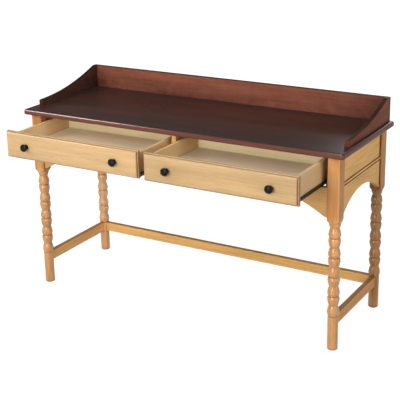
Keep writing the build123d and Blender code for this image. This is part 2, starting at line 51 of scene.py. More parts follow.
GOLDEN_ANGLE = 2.399963
BOARD_STEP = 0.73
LOG_MIDDLE = (0.085, 0.060)
LOG_SPREAD = (0.035, 0.030)
BLOCK_FOOT = 505.0
WELD_REACH = 0.00001
EASED_TURN = math.radians(40)

Colour = tuple[float, float, float]
Place = tuple[float, float, float]
Socket = bpy.types.NodeSocket
Feed = Union[Socket, float, tuple, Vector]
ProfilePoint = tuple[float, float]


class Grain(Enum):
    """Which way the fibres of a board run, and the turn that lays them along the figure's own X."""

    ALONG_X = (0.0, 0.0, 0.0)
    ALONG_Y = (0.0, 0.0, -math.pi / 2)
    ALONG_Z = (0.0, math.pi / 2, 0.0)


class Film(Enum):
    """Where a clear coat of varnish lies over the stain."""

    NONE = 0
    ROUNDED_EDGES = 1
    TURNINGS = 2


class Crease(Enum):
    """The turn, in degrees, past which an edge of a new piece is shaded hard."""

    STAGE = 30
    BEAD = 35
    TURNED = 38
    MOULDED = 40


class Side(Enum):
    """The two ends of the desk, with the sign of X on each."""

    LEFT = -1
    RIGHT = 1

    @property
    def word(self) -> str:
        """The side's name as the frame's nodes use it."""
        return self.name.lower()


# ---------------------------------------------------------------- shader graphs


NUMBER = "NodeSocketFloat"
VECTOR = "NodeSocketVector"
COLOUR = "NodeSocketColor"
WOOD_COLOURS = ("Early Wood", "Late Wood", "Streak", "End Grain", "Crest")
WOOD_SHARES = ("Ring Share", "Streak Share", "Fibre Share", "Pore Share", "Mottle Share")
MASK_TAKES = {"Vector": VECTOR, "Reach": NUMBER, "Amount": NUMBER}


class Graph:
    """Short calls that add nodes to one shader node tree and link them."""

    def __init__(self, tree: bpy.types.NodeTree) -> None:
        """Take the tree to build in, emptied of what it holds."""
        self.tree = tree
        tree.nodes.clear()

    def add(
        self, kind: str, feeds: dict[Union[str, int], Feed] | None = None, **settings: object
    ) -> bpy.types.Node:
        """Add one node.

        Args:
            kind: the node's type name.
            feeds: what goes into its sockets, each a link or a plain value.
            settings: the node's own properties.

        Returns:
            The new node.
        """
        node = self.tree.nodes.new(kind)
        for name, value in settings.items():
            setattr(node, name, value)
        for key, value in (feeds or {}).items():
            self.feed(node, key, value)
        return node

    def feed(self, node: bpy.types.Node, key: Union[str, int], value: Feed) -> None:
        """Link a socket into a node's input, or set the input to a plain value.

        Args:
            node: the node.
            key: the input's name or number.
            value: what goes into it.
        """
        if isinstance(value, bpy.types.NodeSocket):
            self.tree.links.new(value, node.inputs[key])
        else:
            node.inputs[key].default_value = value

    def math(self, operation: str, first: Feed, second: Feed = 0.0) -> Socket:
        """Return the result of one sum on two numbers."""
        return self.add("ShaderNodeMath", {0: first, 1: second}, operation=operation).outputs[0]

    def product(self, first: Feed, *others: Feed) -> Socket:
        """Multiply numbers together.

        Args:
            first: the first number.
            others: what it is multiplied by in turn.

        Returns:
            Their product.
        """
        for other in others:
            first = self.math("MULTIPLY", first, other)
        return first

    def total(self, first: Feed, *others: Feed) -> Socket:
        """Add numbers together.

        Args:
            first: the first number.
            others: what is added to it in turn.

        Returns:
            Their sum.
        """
        for other in others:
            first = self.math("ADD", first, other)
        return first

    def vector(self, operation: str, first: Feed, second: Feed = (0.0, 0.0, 0.0)) -> Socket:
        """Return the result of one sum on two vectors."""
        node = self.add("ShaderNodeVectorMath", {0: first, 1: second}, operation=operation)
        return node.outputs["Value" if operation in ("DOT_PRODUCT", "LENGTH") else "Vector"]

    def part(self, vector: Feed, axis: str) -> Socket:
        """Return one part of a vector."""
        return self.add("ShaderNodeSeparateXYZ", {0: vector}).outputs[axis]

    def noise(
        self, where: Feed, scale: float, detail: float, roughness: float = 0.5, output: str = "Fac"
    ) -> Socket:
        """Return fractal noise read at the given place."""
        feeds = {"Vector": where, "Scale": scale, "Detail": detail, "Roughness": roughness}
        return self.add("ShaderNodeTexNoise", feeds).outputs[output]

    def stretched(
        self, where: Feed, along: float, across: float, detail: float, roughness: float = 0.5
    ) -> Socket:
        """Return fractal noise with one scale along the fibres and another across them."""
        return self.noise(self.vector("MULTIPLY", where, (along, across, across)), 1.0, detail, roughness)

    def levels(
        self, value: Feed, low: float, high: float, to_low: Feed = 0.0, to_high: Feed = 1.0
    ) -> Socket:
        """Return a value spread from one range onto another, held at its ends."""
        feeds = {"Value": value, "From Min": low, "From Max": high, "To Min": to_low, "To Max": to_high}
        return self.add("ShaderNodeMapRange", feeds, clamp=True).outputs["Result"]

    def blend(self, share: Feed, first: Feed, second: Feed, kind: str = "MIX") -> Socket:
        """Return two colours mixed by a share, in one of the mixing kinds."""
        feeds = {0: share, 6: first, 7: second}
        return self.add("ShaderNodeMix", feeds, data_type="RGBA", blend_type=kind).outputs[2]

    def group(self, tree: bpy.types.NodeTree, feeds: dict[str, Feed]) -> bpy.types.Node:
        """Place a shared node group with its own values."""
        return self.add("ShaderNodeGroup", feeds, node_tree=tree)


class Effect:
    """A shader node group that several finishes share, with its own input and output nodes."""

    def __init__(self, name: str, takes: dict[str, str], gives: dict[str, str]) -> None:
        """Make the group's tree and its sockets.

        Args:
            name: the group's name.
            takes: the kind of each socket that goes in, by name.
            gives: the kind of each socket that comes out, by name.
        """
        self.tree = bpy.data.node_groups.new(name, "ShaderNodeTree")
        self.graph = Graph(self.tree)
        for way, sockets in (("INPUT", takes), ("OUTPUT", gives)):
            for label, kind in sockets.items():
                self.tree.interface.new_socket(label, in_out=way, socket_type=kind)
        self.inputs = self.graph.add("NodeGroupInput").outputs
        self.outputs = self.graph.add("NodeGroupOutput")

    def give(self, name: str, value: Socket) -> None:
        """Send a value out of the group."""
        self.graph.feed(self.outputs, name, value)


class Effects:
    """The shared effects: board figure, worn edges, gathered stain with painted shade, uneven gloss and two
    clear coats.
    """

    def __init__(self) -> None:
        """Build each group once."""
        self.figure = self._figure()
        self.wear = self._wear()
        self.stain_and_shade = self._stain_and_shade()
        self.gloss = self._gloss()
        self.edge_film = self._edge_film()
        self.turning_film = self._turning_film()

    def _figure(self) -> bpy.types.NodeTree:
        """Build the figure of a sawn board, whose fibres run along X, round a pith at the origin.

        Returns:
            The group's tree, which gives a colour and a height.
        """
        takes = dict.fromkeys(("Vector", "Facing", "Upward"), VECTOR)
        takes |= dict.fromkeys(WOOD_COLOURS, COLOUR)
        takes |= dict.fromkeys((*WOOD_SHARES, "Rings per Metre", "Drift"), NUMBER)
        effect = Effect("board_figure", takes, {"Color": COLOUR, "Height": NUMBER})
        graph, taken = effect.graph, effect.inputs
        where = taken["Vector"]

        drift = graph.noise(graph.vector("MULTIPLY", where, (1.1, 5.0, 5.0)), 1.0, 3.0, output="Color")
        centred = graph.vector("SUBTRACT", drift, (0.5, 0.5, 0.5))
        sway = graph.add("ShaderNodeCombineXYZ", {1: taken["Drift"], 2: taken["Drift"]}).outputs[0]
        bent = graph.vector("ADD", where, graph.vector("MULTIPLY", centred, sway))
        radius = graph.vector("LENGTH", graph.vector("MULTIPLY", bent, (0.0, 1.0, 1.0)))
        year = graph.product(radius, taken["Rings per Metre"])
        feeds = {"W": year, "Scale": 0.37, "Detail": 1.0}
        spacing = graph.add("ShaderNodeTexNoise", feeds, noise_dimensions="1D").outputs["Fac"]
        year = graph.total(year, graph.product(spacing, 2.6))
        season = graph.math("FRACT", year)
        feeds = {"W": graph.math("FLOOR", year)}
        strong = graph.add("ShaderNodeTexWhiteNoise", feeds, noise_dimensions="1D").outputs["Value"]
        rise = graph.math("POWER", graph.levels(season, 0.15, 0.88), 2.0)
        fall = graph.levels(season, 0.90, 1.0, 1.0, 0.0)
        late = graph.product(rise, fall, graph.levels(strong, 0.0, 1.0, 0.25, 1.0))

        streak = graph.levels(graph.stretched(bent, 1.3, 15.0, 4.0, 0.6), 0.44, 0.66)
        patch = graph.levels(graph.stretched(where, 2.6, 20.0, 3.0, 0.55), 0.3, 0.7)
        coarse = graph.stretched(bent, 4.0, 150.0, 3.0, 0.6)
        fine = graph.stretched(bent, 22.0, 800.0, 2.0)
        fibre = graph.total(graph.product(coarse, 0.65), graph.product(fine, 0.35))
        pores = graph.levels(graph.stretched(bent, 32.0, 560.0, 1.0), 0.61, 0.72)

        share = graph.product(late, taken["Ring Share"])
        colour = graph.blend(share, taken["Early Wood"], taken["Late Wood"])
        colour = graph.blend(graph.product(streak, taken["Streak Share"]), colour, taken["Streak"])
        lines = graph.math("SUBTRACT", graph.levels(fibre, 0.33, 0.67), 0.5)
        lines = graph.product(lines, taken["Fibre Share"])
        cloud = graph.product(graph.math("SUBTRACT", patch, 0.5), taken["Mottle Share"])
        pitted = graph.product(pores, taken["Pore Share"])
        tone = graph.math("SUBTRACT", graph.total(lines, 1.0, cloud), pitted)
        shade = graph.add("ShaderNodeCombineColor", {0: tone, 1: tone, 2: tone}).outputs[0]
        colour = graph.blend(1.0, colour, shade, "MULTIPLY")

        cut = graph.levels(graph.math("ABSOLUTE", graph.part(taken["Facing"], "X")), 0.25, 0.95)
        colour = graph.blend(cut, colour, taken["End Grain"], "MULTIPLY")
        # Faces that look up are darkened by a tint: painted shade.
        upward = graph.levels(graph.part(taken["Upward"], "Z"), 0.3, 0.8)
        effect.give("Color", graph.blend(upward, colour, taken["Crest"], "MULTIPLY"))

        height = graph.total(graph.product(fibre, 0.35), graph.product(late, 0.25))
        effect.give("Height", graph.math("SUBTRACT", height, graph.product(pores, 0.5)))
        return effect.tree

    def _wear(self) -> bpy.types.NodeTree:
        """Build the lighter, rubbed line along outer edges.

        Returns:
            The group's tree, which gives the line's mask.
        """
        effect = Effect("edge_wear", MASK_TAKES, {"Mask": NUMBER})
        graph, taken = effect.graph, effect.inputs
        rounded = graph.add("ShaderNodeBevel", {"Radius": taken["Reach"]}, samples=6).outputs["Normal"]
        own = graph.add("ShaderNodeNewGeometry").outputs["Normal"]
        turned = graph.math("SUBTRACT", 1.0, graph.vector("DOT_PRODUCT", rounded, own))
        edge = graph.levels(turned, 0.01, 0.16)
        rubbed = graph.levels(graph.noise(taken["Vector"], 42.0, 4.0, 0.65), 0.36, 0.62, 0.25, 1.0)
        effect.give("Mask", graph.product(edge, rubbed, taken["Amount"]))
        return effect.tree

    def _stain_and_shade(self) -> bpy.types.NodeTree:
        """Build the darkening of grooves, joints and corners from ambient occlusion, partly gathered stain
        and partly painted shade.

        Returns:
            The group's tree, which gives the mask of what it darkens.
        """
        effect = Effect("gathered_stain", MASK_TAKES, {"Mask": NUMBER})
        graph, taken = effect.graph, effect.inputs
        feeds = {"Distance": taken["Reach"]}
        open_share = graph.add("ShaderNodeAmbientOcclusion", feeds, samples=8).outputs["AO"]
        closed = graph.levels(open_share, 0.25, 0.92, 1.0, 0.0)
        patchy = graph.levels(graph.noise(taken["Vector"], 30.0, 3.0), 0.3, 0.7, 0.6, 1.0)
        effect.give("Mask", graph.product(closed, patchy, taken["Amount"]))
        return effect.tree

    def _gloss(self) -> bpy.types.NodeTree:
        """Build the uneven gloss of a rubbed lacquer film.

        Returns:
            The group's tree, which gives a roughness between two values and the film's fine texture.
        """
        takes = {"Vector": VECTOR, "Smooth": NUMBER, "Dull": NUMBER}
        effect = Effect("handled_gloss", takes, {"Roughness": NUMBER, "Film": NUMBER})
        graph, taken = effect.graph, effect.inputs
        cloud = graph.levels(graph.noise(taken["Vector"], 5.0, 4.0, 0.6), 0.32, 0.68)
        speck = graph.noise(taken["Vector"], 160.0, 2.0)
        grit = graph.levels(speck, 0.35, 0.65)
        share = graph.total(graph.product(cloud, 0.7), graph.product(grit, 0.3))
        span = graph.math("SUBTRACT", taken["Dull"], taken["Smooth"])
        effect.give("Roughness", graph.total(graph.product(share, span), taken["Smooth"]))
        effect.give("Film", speck)
        return effect.tree

    def _edge_film(self) -> bpy.types.NodeTree:
        """Build the varnish that is thickest where a moulded edge turns over to the front.

        Returns:
            The group's tree, which gives the film's share.
        """
        effect = Effect("edge_film", {"Upward": VECTOR, "Flat": NUMBER}, {"Mask": NUMBER})
        graph, taken = effect.graph, effect.inputs
        rise = graph.part(taken["Upward"], "Z")
        begun = graph.levels(rise, 0.22, 0.48)
        over = graph.levels(rise, 0.90, 1.0, 1.0, taken["Flat"])
        sideways = graph.math("ABSOLUTE", graph.part(taken["Upward"], "X"))
        thinned = graph.levels(sideways, 0.15, 0.55, 1.0, 0.22)
        effect.give("Mask", graph.product(begun, over, thinned))
        return effect.tree

    def _turning_film(self) -> bpy.types.NodeTree:
        """Build the varnish that is thick on turned work and thin on the square block above it.

        Returns:
            The group's tree, which gives the film's share and the mask of the square block.
        """
        gives = {"Mask": NUMBER, "Block": NUMBER}
        effect = Effect("turning_film", {"Place": VECTOR, "Top": NUMBER}, gives)
        graph, taken = effect.graph, effect.inputs
        above = graph.math("SUBTRACT", graph.part(taken["Place"], "Z"), taken["Top"])
        below = graph.levels(above, -0.03, 0.0, 1.0, 0.05)
        patchy = graph.levels(graph.noise(taken["Place"], 26.0, 3.0), 0.3, 0.7, 0.7, 1.0)
        effect.give("Mask", graph.product(below, patchy, 0.75))
        effect.give("Block", graph.levels(above, -0.006, 0.006))
        return effect.tree


# ---------------------------------------------------------------- finishes


def opaque(colour: Colour) -> tuple[float, float, float, float]:
    """Return a colour with full alpha."""
    return (*colour, 1.0)


def grey(level: float) -> tuple[float, float, float, float]:
    """Return a neutral colour with full alpha."""
    return opaque((level, level, level))


def new_material(name: str) -> tuple[bpy.types.Material, Graph]:
    """Make an empty material.

    Args:
        name: the material's name.

    Returns:
        The material, and the graph that fills it.
    """
    material = bpy.data.materials.new(name)
    material.use_nodes = True
    return material, Graph(material.node_tree)


@dataclass(frozen=True, kw_only=True)
class Finish:
    """What every finish has: rubbed edges, an uneven gloss and a fine relief.

    Attributes:
        name: what the finish is called.
        slot: the record's material slot that it answers to.
        worn: colour of the rubbed edges.
        wear: how much the edges are rubbed.
        rubbed: how far in from an edge they are rubbed, in metres.
        gloss: the smoothest and the dullest roughness of the film.
        level: strength of the plain reflection.
        metal: 1 for bare metal, and 0 for all else.
        relief: depth of the fine relief, in metres.
        bump: how strongly that relief shows.
    """

    name: str
    slot: str
    worn: Colour
    wear: float
    rubbed: float
    gloss: tuple[float, float]
    level: float
    metal: float = 0.0
    relief: float
    bump: float

    def skin(
        self, graph: Graph, effects: Effects, where: Socket, colour: Socket, height: Socket | None = None
    ) -> bpy.types.Node:
        """Rub the edges of a colour, give it its gloss and relief, and make it the material's surface.

        Args:
            graph: the material's graph.
            effects: the shared node groups.
            where: the place that they are read at.
            colour: the colour before it is rubbed.
            height: what the relief follows, or None for the film's own texture.

        Returns:
            The shader node.
        """
        wear = graph.group(effects.wear, {"Vector": where, "Reach": self.rubbed, "Amount": self.wear})
        smooth, dull = self.gloss
        gloss = graph.group(effects.gloss, {"Vector": where, "Smooth": smooth, "Dull": dull}).outputs
        texture = gloss["Film"] if height is None else height
        feeds = {"Height": texture, "Distance": self.relief, "Strength": self.bump}
        bump = graph.add("ShaderNodeBump", feeds)
        feeds = {
            "Base Color": graph.blend(wear.outputs["Mask"], colour, opaque(self.worn)),
            "Roughness": gloss["Roughness"],
            "Metallic": self.metal,
            "Specular IOR Level": self.level,
            "Normal": bump.outputs["Normal"],
        }
        skin = graph.add("ShaderNodeBsdfPrincipled", feeds)
        graph.add("ShaderNodeOutputMaterial", {"Surface": skin.outputs[0]})
        return skin


@dataclass(frozen=True, kw_only=True)
class WoodFinish(Finish):
    """Stain and lacquer over a sawn board.

    Attributes:
        early: colour of the wide part of each year's ring.
        late: colour of the narrow, dark part of each ring.
        streak: colour of the broad streaks.
        stain: tint of the darkening in grooves, joints and corners, which is gathered stain and painted
            shade.
        end: tint of the wood where its fibres are cut across.
        crest: tint of the faces that look up, painted shade that darkens them.
        rings: how many rings there are to a metre.
        shares: how much rings, streaks, fibres, pores and mottle show.
        stain_and_shade: how strongly grooves, joints and corners are darkened, by gathered stain and
            painted shade.
        stain_and_shade_reach: how far from them the darkening reaches, in metres.
        fineness: how many times finer than usual the figure is.
        drift: how far the fibres wander from straight, in metres.
        heart: how far the heart of the log is moved from its usual place, in metres.
        film: where the clear coat lies.
        film_flat: the coat's share on the flat faces that look up.
        coat: the clear coat's roughness and refraction.
        block: tint of the square block over turned work.
    """

    early: Colour
    late: Colour
    streak: Colour
    stain: Colour
    end: Colour = (0.74, 0.62, 0.56)
    crest: Colour = (1.0, 1.0, 1.0)
    rings: float = 220.0
    shares: tuple[float, float, float, float, float] = (0.5, 0.4, 0.2, 0.15, 0.2)
    gloss: tuple[float, float] = (0.34, 0.48)
    level: float = 0.4
    wear: float = 0.5
    rubbed: float = 0.0022
    stain_and_shade: float = 0.6
    stain_and_shade_reach: float = 0.007
    relief: float = 0.00012
    bump: float = 0.6
    fineness: float = 1.0
    drift: float = 0.030
    heart: Place = (0.0, 0.0, 0.0)
    film: Film = Film.NONE
    film_flat: float = 0.15
    coat: tuple[float, float] = (0.14, 1.5)
    block: Colour = (1.0, 1.0, 1.0)

    def toned(self, name: str, tone: Colour) -> WoodFinish:
        """Return the same finish on a log of another tone.

        Args:
            name: the new finish's name.
            tone: what its wood colours are multiplied by.

        Returns:
            The new finish.
        """
        tinted = {
            part: tuple(value * share for value, share in zip(getattr(self, part), tone))
            for part in ("early", "late", "streak")
        }
        return replace(self, name=name, **tinted)

    def dress(self, effects: Effects, grain: Grain, offset: Place) -> bpy.types.Material:
        """Make the material for one board or a set of like boards.

        Args:
            effects: the shared node groups.
            grain: which way the fibres run.
            offset: where in the log the board was sawn, in metres, with the fibres along X.

        Returns:
            The material.
        """
        material, graph = new_material(f"{self.name}_{grain.name.lower()}")
        place = graph.add("ShaderNodeTexCoord").outputs
        sawn = tuple(first + second for first, second in zip(offset, self.heart))
        feeds = {0: place["Object"], 1: sawn, 2: grain.value, 3: (self.fineness,) * 3}
        along = graph.add("ShaderNodeMapping", feeds).outputs["Vector"]
        facing = graph.add("ShaderNodeMapping", {0: place["Normal"], 2: grain.value}).outputs["Vector"]

        feeds = {"Vector": along, "Facing": facing, "Upward": place["Normal"]}
        feeds |= {"Rings per Metre": self.rings, "Drift": self.drift}
        colours = (self.early, self.late, self.streak, self.end, self.crest)
        feeds |= dict(zip(WOOD_COLOURS, map(opaque, colours))) | dict(zip(WOOD_SHARES, self.shares))
        figure = graph.group(effects.figure, feeds).outputs
        # Ambient occlusion darkens grooves, joints and corners: partly gathered stain, partly painted
        # shade.
        stain_and_shade = graph.group(effects.stain_and_shade, {"Vector": along, "Reach": self.stain_and_shade_reach, "Amount": self.stain_and_shade})
        colour = graph.blend(stain_and_shade.outputs["Mask"], figure["Color"], opaque(self.stain), "MULTIPLY")
        film = None
        if self.film is Film.TURNINGS:
            feeds = {"Place": place["Object"], "Top": BLOCK_FOOT * MM}
            film = graph.group(effects.turning_film, feeds).outputs
            colour = graph.blend(film["Block"], colour, opaque(self.block), "MULTIPLY")
        elif self.film is Film.ROUNDED_EDGES:
            feeds = {"Upward": place["Normal"], "Flat": self.film_flat}
            film = graph.group(effects.edge_film, feeds).outputs

        skin = self.skin(graph, effects, along, colour, figure["Height"])
        if film is not None:
            graph.feed(skin, "Coat Weight", film["Mask"])
        roughness, refraction = self.coat
        graph.feed(skin, "Coat Roughness", roughness)
        graph.feed(skin, "Coat IOR", refraction)
        return material


@dataclass(frozen=True, kw_only=True)
class CoatedFinish(Finish):
    """Enamel, bare metal or moulded nylon: two close colours in a fine cloud.

    Attributes:
        body: its main colour.
        tint: the colour that varies it.
        ease: width of the eased edges of the nodes that it covers, in metres, or 0 to leave them.
    """

    body: Colour
    tint: Colour
    gloss: tuple[float, float] = (0.3, 0.45)
    level: float = 0.5
    wear: float = 0.3
    rubbed: float = 0.0007
    relief: float = 0.00005
    bump: float = 0.5
    ease: float = 0.0

    def dress(self, effects: Effects) -> bpy.types.Material:
        """Make the material.

        Args:
            effects: the shared node groups.

        Returns:
            The material.
        """
        material, graph = new_material(self.name)
        place = graph.add("ShaderNodeTexCoord").outputs["Object"]
        cloud = graph.levels(graph.noise(place, 60.0, 3.0), 0.35, 0.65)
        self.skin(graph, effects, place, graph.blend(cloud, opaque(self.body), opaque(self.tint)))
        return material


# The up-facing tint paints shade on the top. The wide darkening, which takes out red and adds blue, paints
# shade near the gallery boards.
TOP_STAIN = WoodFinish(
    name="dark_top_stain",
    slot="top_wood",
    early=(0.140, 0.054, 0.041),
    late=(0.090, 0.036, 0.028),
    streak=(0.225, 0.064, 0.045),
    worn=(0.150, 0.065, 0.045),
    stain=(0.42, 0.95, 1.25),
    end=(1.0, 1.0, 1.0),
    crest=(0.36, 0.46, 0.48),
    rings=45.0,
    shares=(0.36, 0.8, 0.13, 0.03, 0.25),
    gloss=(0.27, 0.30),
    level=0.05,
    wear=0.06,
    stain_and_shade=0.8,
    stain_and_shade_reach=0.090,
    relief=0.00001,
    drift=0.010,
    heart=(0.0, 0.42, -0.80),
    film=Film.ROUNDED_EDGES,
    film_flat=0.10,
    coat=(0.12, 1.85),
)
# Wide darkening here paints the shadow in the corners by the side boards, and the up-facing tint paints
# shade on the top edges. The worn colour, far darker than the wood, darkens every edge.
GALLERY_STAIN = WoodFinish(
    name="dark_gallery_stain",
    slot="top_wood",
    early=(0.225, 0.080, 0.050),
    late=(0.140, 0.050, 0.032),
    streak=(0.270, 0.085, 0.048),
    worn=(0.060, 0.026, 0.020),
    stain=(0.15, 0.14, 0.15),
    crest=(0.23, 0.26, 0.29),
    rings=170.0,
    shares=(0.60, 0.75, 0.24, 0.25, 0.40),
    gloss=(0.38, 0.48),
    level=0.02,
    wear=0.45,
    stain_and_shade=1.0,
    stain_and_shade_reach=0.160,
    relief=0.00006,
)
HONEY_LACQUER = WoodFinish(
    name="honey_leg_lacquer",
    slot="frame_wood",
    early=(0.580, 0.272, 0.090),
    late=(0.350, 0.124, 0.036),
    streak=(0.690, 0.400, 0.170),
    worn=(0.760, 0.470, 0.250),
    stain=(0.36, 0.22, 0.15),
    end=(0.78, 0.64, 0.54),
    rings=260.0,
    shares=(0.80, 0.7, 0.26, 0.25, 0.35),
    gloss=(0.30, 0.40),
    level=0.06,
    stain_and_shade=0.95,
    stain_and_shade_reach=0.015,
    relief=0.00008,
    fineness=2.2,
    film=Film.TURNINGS,
    coat=(0.26, 1.6),
    block=(0.95, 0.88, 0.84),
)
STRAW_LACQUER = WoodFinish(
    name="straw_board_lacquer",
    slot="frame_wood",
    early=(0.760, 0.430, 0.145),
    late=(0.560, 0.270, 0.078),
    streak=(0.820, 0.490, 0.195),
    worn=(0.760, 0.500, 0.270),
    stain=(0.26, 0.14, 0.09),
    end=(0.78, 0.64, 0.54),
    crest=(0.58, 0.53, 0.48),
    rings=240.0,
    shares=(0.65, 0.5, 0.22, 0.22, 0.16),
    gloss=(0.36, 0.50),
    level=0.08,
    stain_and_shade=0.9,
    stain_and_shade_reach=0.010,
    fineness=1.5,
    drift=0.016,
)
PALE_LACQUER = WoodFinish(
    name="pale_front_lacquer",
    slot="drawer_wood",
    early=(0.585, 0.382, 0.186),
    late=(0.475, 0.270, 0.112),
    streak=(0.640, 0.438, 0.228),
    worn=(0.860, 0.650, 0.400),
    stain=(0.36, 0.22, 0.15),
    end=(0.78, 0.62, 0.56),
    rings=200.0,
    shares=(0.60, 0.7, 0.16, 0.16, 0.26),
    gloss=(0.38, 0.50),
    level=0.25,
    stain_and_shade=0.7,
    stain_and_shade_reach=0.005,
    film=Film.ROUNDED_EDGES,
    film_flat=0.0,
    coat=(0.16, 1.7),
)
# Dark finish of the flat strips beside each bead and at the side boards' ends: painted shadow of quirks.
# The two glazes below take their other settings from it.
PAINTED_QUIRK_SHADOW = WoodFinish(
    name="painted_quirk_shadow",
    slot="frame_wood",
    early=(0.120, 0.040, 0.018),
    late=(0.080, 0.026, 0.012),
    streak=(0.150, 0.052, 0.024),
    worn=(0.200, 0.085, 0.045),
    stain=(0.40, 0.30, 0.25),
    shares=(0.5, 0.4, 0.2, 0.2, 0.3),
    gloss=(0.50, 0.65),
    level=0.04,
    wear=0.05,
)
BOX_LACQUER = WoodFinish(
    name="box_lacquer",
    slot="drawer_wood",
    early=(0.790, 0.545, 0.275),
    late=(0.660, 0.400, 0.170),
    streak=(0.830, 0.600, 0.340),
    worn=(0.840, 0.660, 0.420),
    stain=(0.45, 0.34, 0.24),
    rings=200.0,
    shares=(0.4, 0.4, 0.12, 0.10, 0.15),
    gloss=(0.44, 0.58),
    level=0.25,
)
# Paler copy for the drawers' backs, which lie under the top: pale plywood, with painted light as well.
PLY_LACQUER = replace(
    BOX_LACQUER,
    name="pale_ply_lacquer",
    early=(0.970, 0.850, 0.530),
    late=(0.900, 0.740, 0.430),
    streak=(0.975, 0.870, 0.590),
)
# Darker copy for the right drawer's front, which is lit less than the left one: painted shade.
SHADED_RIGHT_FRONT_LACQUER = PALE_LACQUER.toned("painted_shade_front_lacquer", (0.90, 0.90, 0.88))
# Darker copy for the left gallery board, whose inner face gets little light: painted shade.
SHADED_GALLERY_STAIN = GALLERY_STAIN.toned("deep_gallery_stain", (0.50, 0.58, 0.64))
# Darker copy for the rear right leg: painted shade standing in for the front leg's shadow. Its block tint
# lifts the square block back towards the honey colour.
PAINTED_SHADE_HONEY_LACQUER = replace(
    HONEY_LACQUER.toned("painted_shade_honey_lacquer", (0.64, 0.60, 0.43)),
    block=(1.50, 1.45, 1.70),
)
# Lighter copy for the side boards under the top's overhang: painted light, with more grain showing as well.
SIDE_LACQUER = replace(
    STRAW_LACQUER.toned("side_board_lacquer", (1.20, 1.20, 1.12)),
    shares=(0.80, 0.6, 0.36, 0.28, 0.22),
)
# Darker copy for the front valance, which lies in the drawers' shadow: painted shade.
SHADED_LACQUER = STRAW_LACQUER.toned("painted_shade_valance_lacquer", (0.86, 0.84, 0.90))
STRETCHER_LOGS = {
    Side.LEFT: STRAW_LACQUER.toned("light_stretcher_lacquer", (1.26, 1.18, 1.38)),
    Side.RIGHT: STRAW_LACQUER.toned("brown_stretcher_lacquer", (0.95, 0.83, 0.74)),
}
# Lighter copy for the rear left leg: painted light. Its block tint takes the square block back down.
PAINTED_LIGHT_HONEY_LACQUER = replace(
    HONEY_LACQUER.toned("painted_light_honey_lacquer", (1.35, 1.46, 1.75)),
    block=(0.80, 0.70, 0.60),
)
LEG_LOGS = {
    "leg_front_left": HONEY_LACQUER,
    "leg_front_right": HONEY_LACQUER,
    "leg_rear_left": PAINTED_LIGHT_HONEY_LACQUER,
    "leg_rear_right": PAINTED_SHADE_HONEY_LACQUER,
}
LEG_GLAZE = replace(
    PAINTED_QUIRK_SHADOW,
    name="brown_turning_glaze",
    early=(0.360, 0.150, 0.060),
    late=(0.290, 0.110, 0.040),
    streak=(0.400, 0.180, 0.080),
)
FRONT_GLAZE = replace(
    PAINTED_QUIRK_SHADOW,
    name="red_moulding_glaze",
    slot="drawer_wood",
    early=(0.300, 0.130, 0.070),
    late=(0.220, 0.090, 0.045),
    streak=(0.340, 0.160, 0.090),
)
# Grey plywood for the drawers' floors, set very light: partly the ply's own colour, partly painted light.
FLOOR_LACQUER = replace(
    PLY_LACQUER,
    name="grey_ply_lacquer",
    early=(0.900, 0.775, 0.570),
    late=(0.830, 0.690, 0.480),
    streak=(0.910, 0.800, 0.610),
)
# Darker copy for the right drawer's floor, which gets less light than the left one: painted shade.
SHADED_FLOOR_LACQUER = FLOOR_LACQUER.toned("painted_shade_ply_lacquer", (0.84, 0.84, 0.84))

SLIDE_ENAMEL = CoatedFinish(
    name="black_slide_enamel",
    slot="slide_steel",
    body=(0.007, 0.007, 0.008),
    tint=(0.012, 0.012, 0.013),
    worn=(0.050, 0.050, 0.052),
    level=0.18,
    ease=0.0003,
)
KNOB_ENAMEL = CoatedFinish(
    name="black_knob_enamel",
    slot="knob_black",
    body=(0.004, 0.004, 0.005),
    tint=(0.008, 0.008, 0.009),
    worn=(0.020, 0.020, 0.021),
    gloss=(0.22, 0.30),
    level=0.12,
)
ROLLER_NYLON = CoatedFinish(
    name="roller_nylon",
    slot="roller_nylon",
    body=(0.050, 0.050, 0.054),
    tint=(0.070, 0.070, 0.075),
    worn=(0.160, 0.160, 0.165),
    gloss=(0.38, 0.52),
    ease=0.0005,
)
SCREW_ZINC = CoatedFinish(
    name="screw_zinc",
    slot="screw_steel",
    body=(0.520, 0.530, 0.540),
    tint=(0.420, 0.430, 0.450),
    worn=(0.700, 0.700, 0.700),
    gloss=(0.25, 0.42),
    metal=1.0,
    ease=0.0004,
)
COATS = (SLIDE_ENAMEL, KNOB_ENAMEL, ROLLER_NYLON, SCREW_ZINC)


# ---------------------------------------------------------------- mesh making


def link_mesh(name: str, build: bmesh.types.BMesh, crease: Crease) -> bpy.types.Object:
    """Turn a finished bmesh into a smooth-shaded object with hard creases.

    Args:
        name: the piece's name.
        build: the mesh under construction, freed here.
        crease: which edges are shaded hard.

    Returns:
        The object, linked to the scene.
    """
    bmesh.ops.recalc_face_normals(build, faces=build.faces)
    mesh = bpy.data.meshes.new(name)
    build.to_mesh(mesh)
    build.free()
    for polygon in mesh.polygons:
        polygon.use_smooth = True
    mesh.set_sharp_from_angle(angle=math.radians(crease.value))
    piece = bpy.data.objects.new(name, mesh)
    bpy.context.scene.collection.objects.link(piece)
    return piece


def bowed(start: ProfilePoint, end: ProfilePoint, rise: float, steps: int) -> list[ProfilePoint]:
    """Return points along a shallow arc, without its first point.

    Args:
        start: where the arc begins.
        end: where it ends.
        rise: how far its middle stands to the left of the line from start to end.
        steps: how many points it gives.

    Returns:
        The points, the last one at the end.
    """
    chord = Vector(end) - Vector(start)
    left = Vector((-chord.y, chord.x)).normalized()
    points = []
    for step in range(1, steps + 1):
        share = step / steps
        place = Vector(start) + chord * share + left * (rise * 4.0 * share * (1.0 - share))
        points.append((place.x, place.y))
    return points


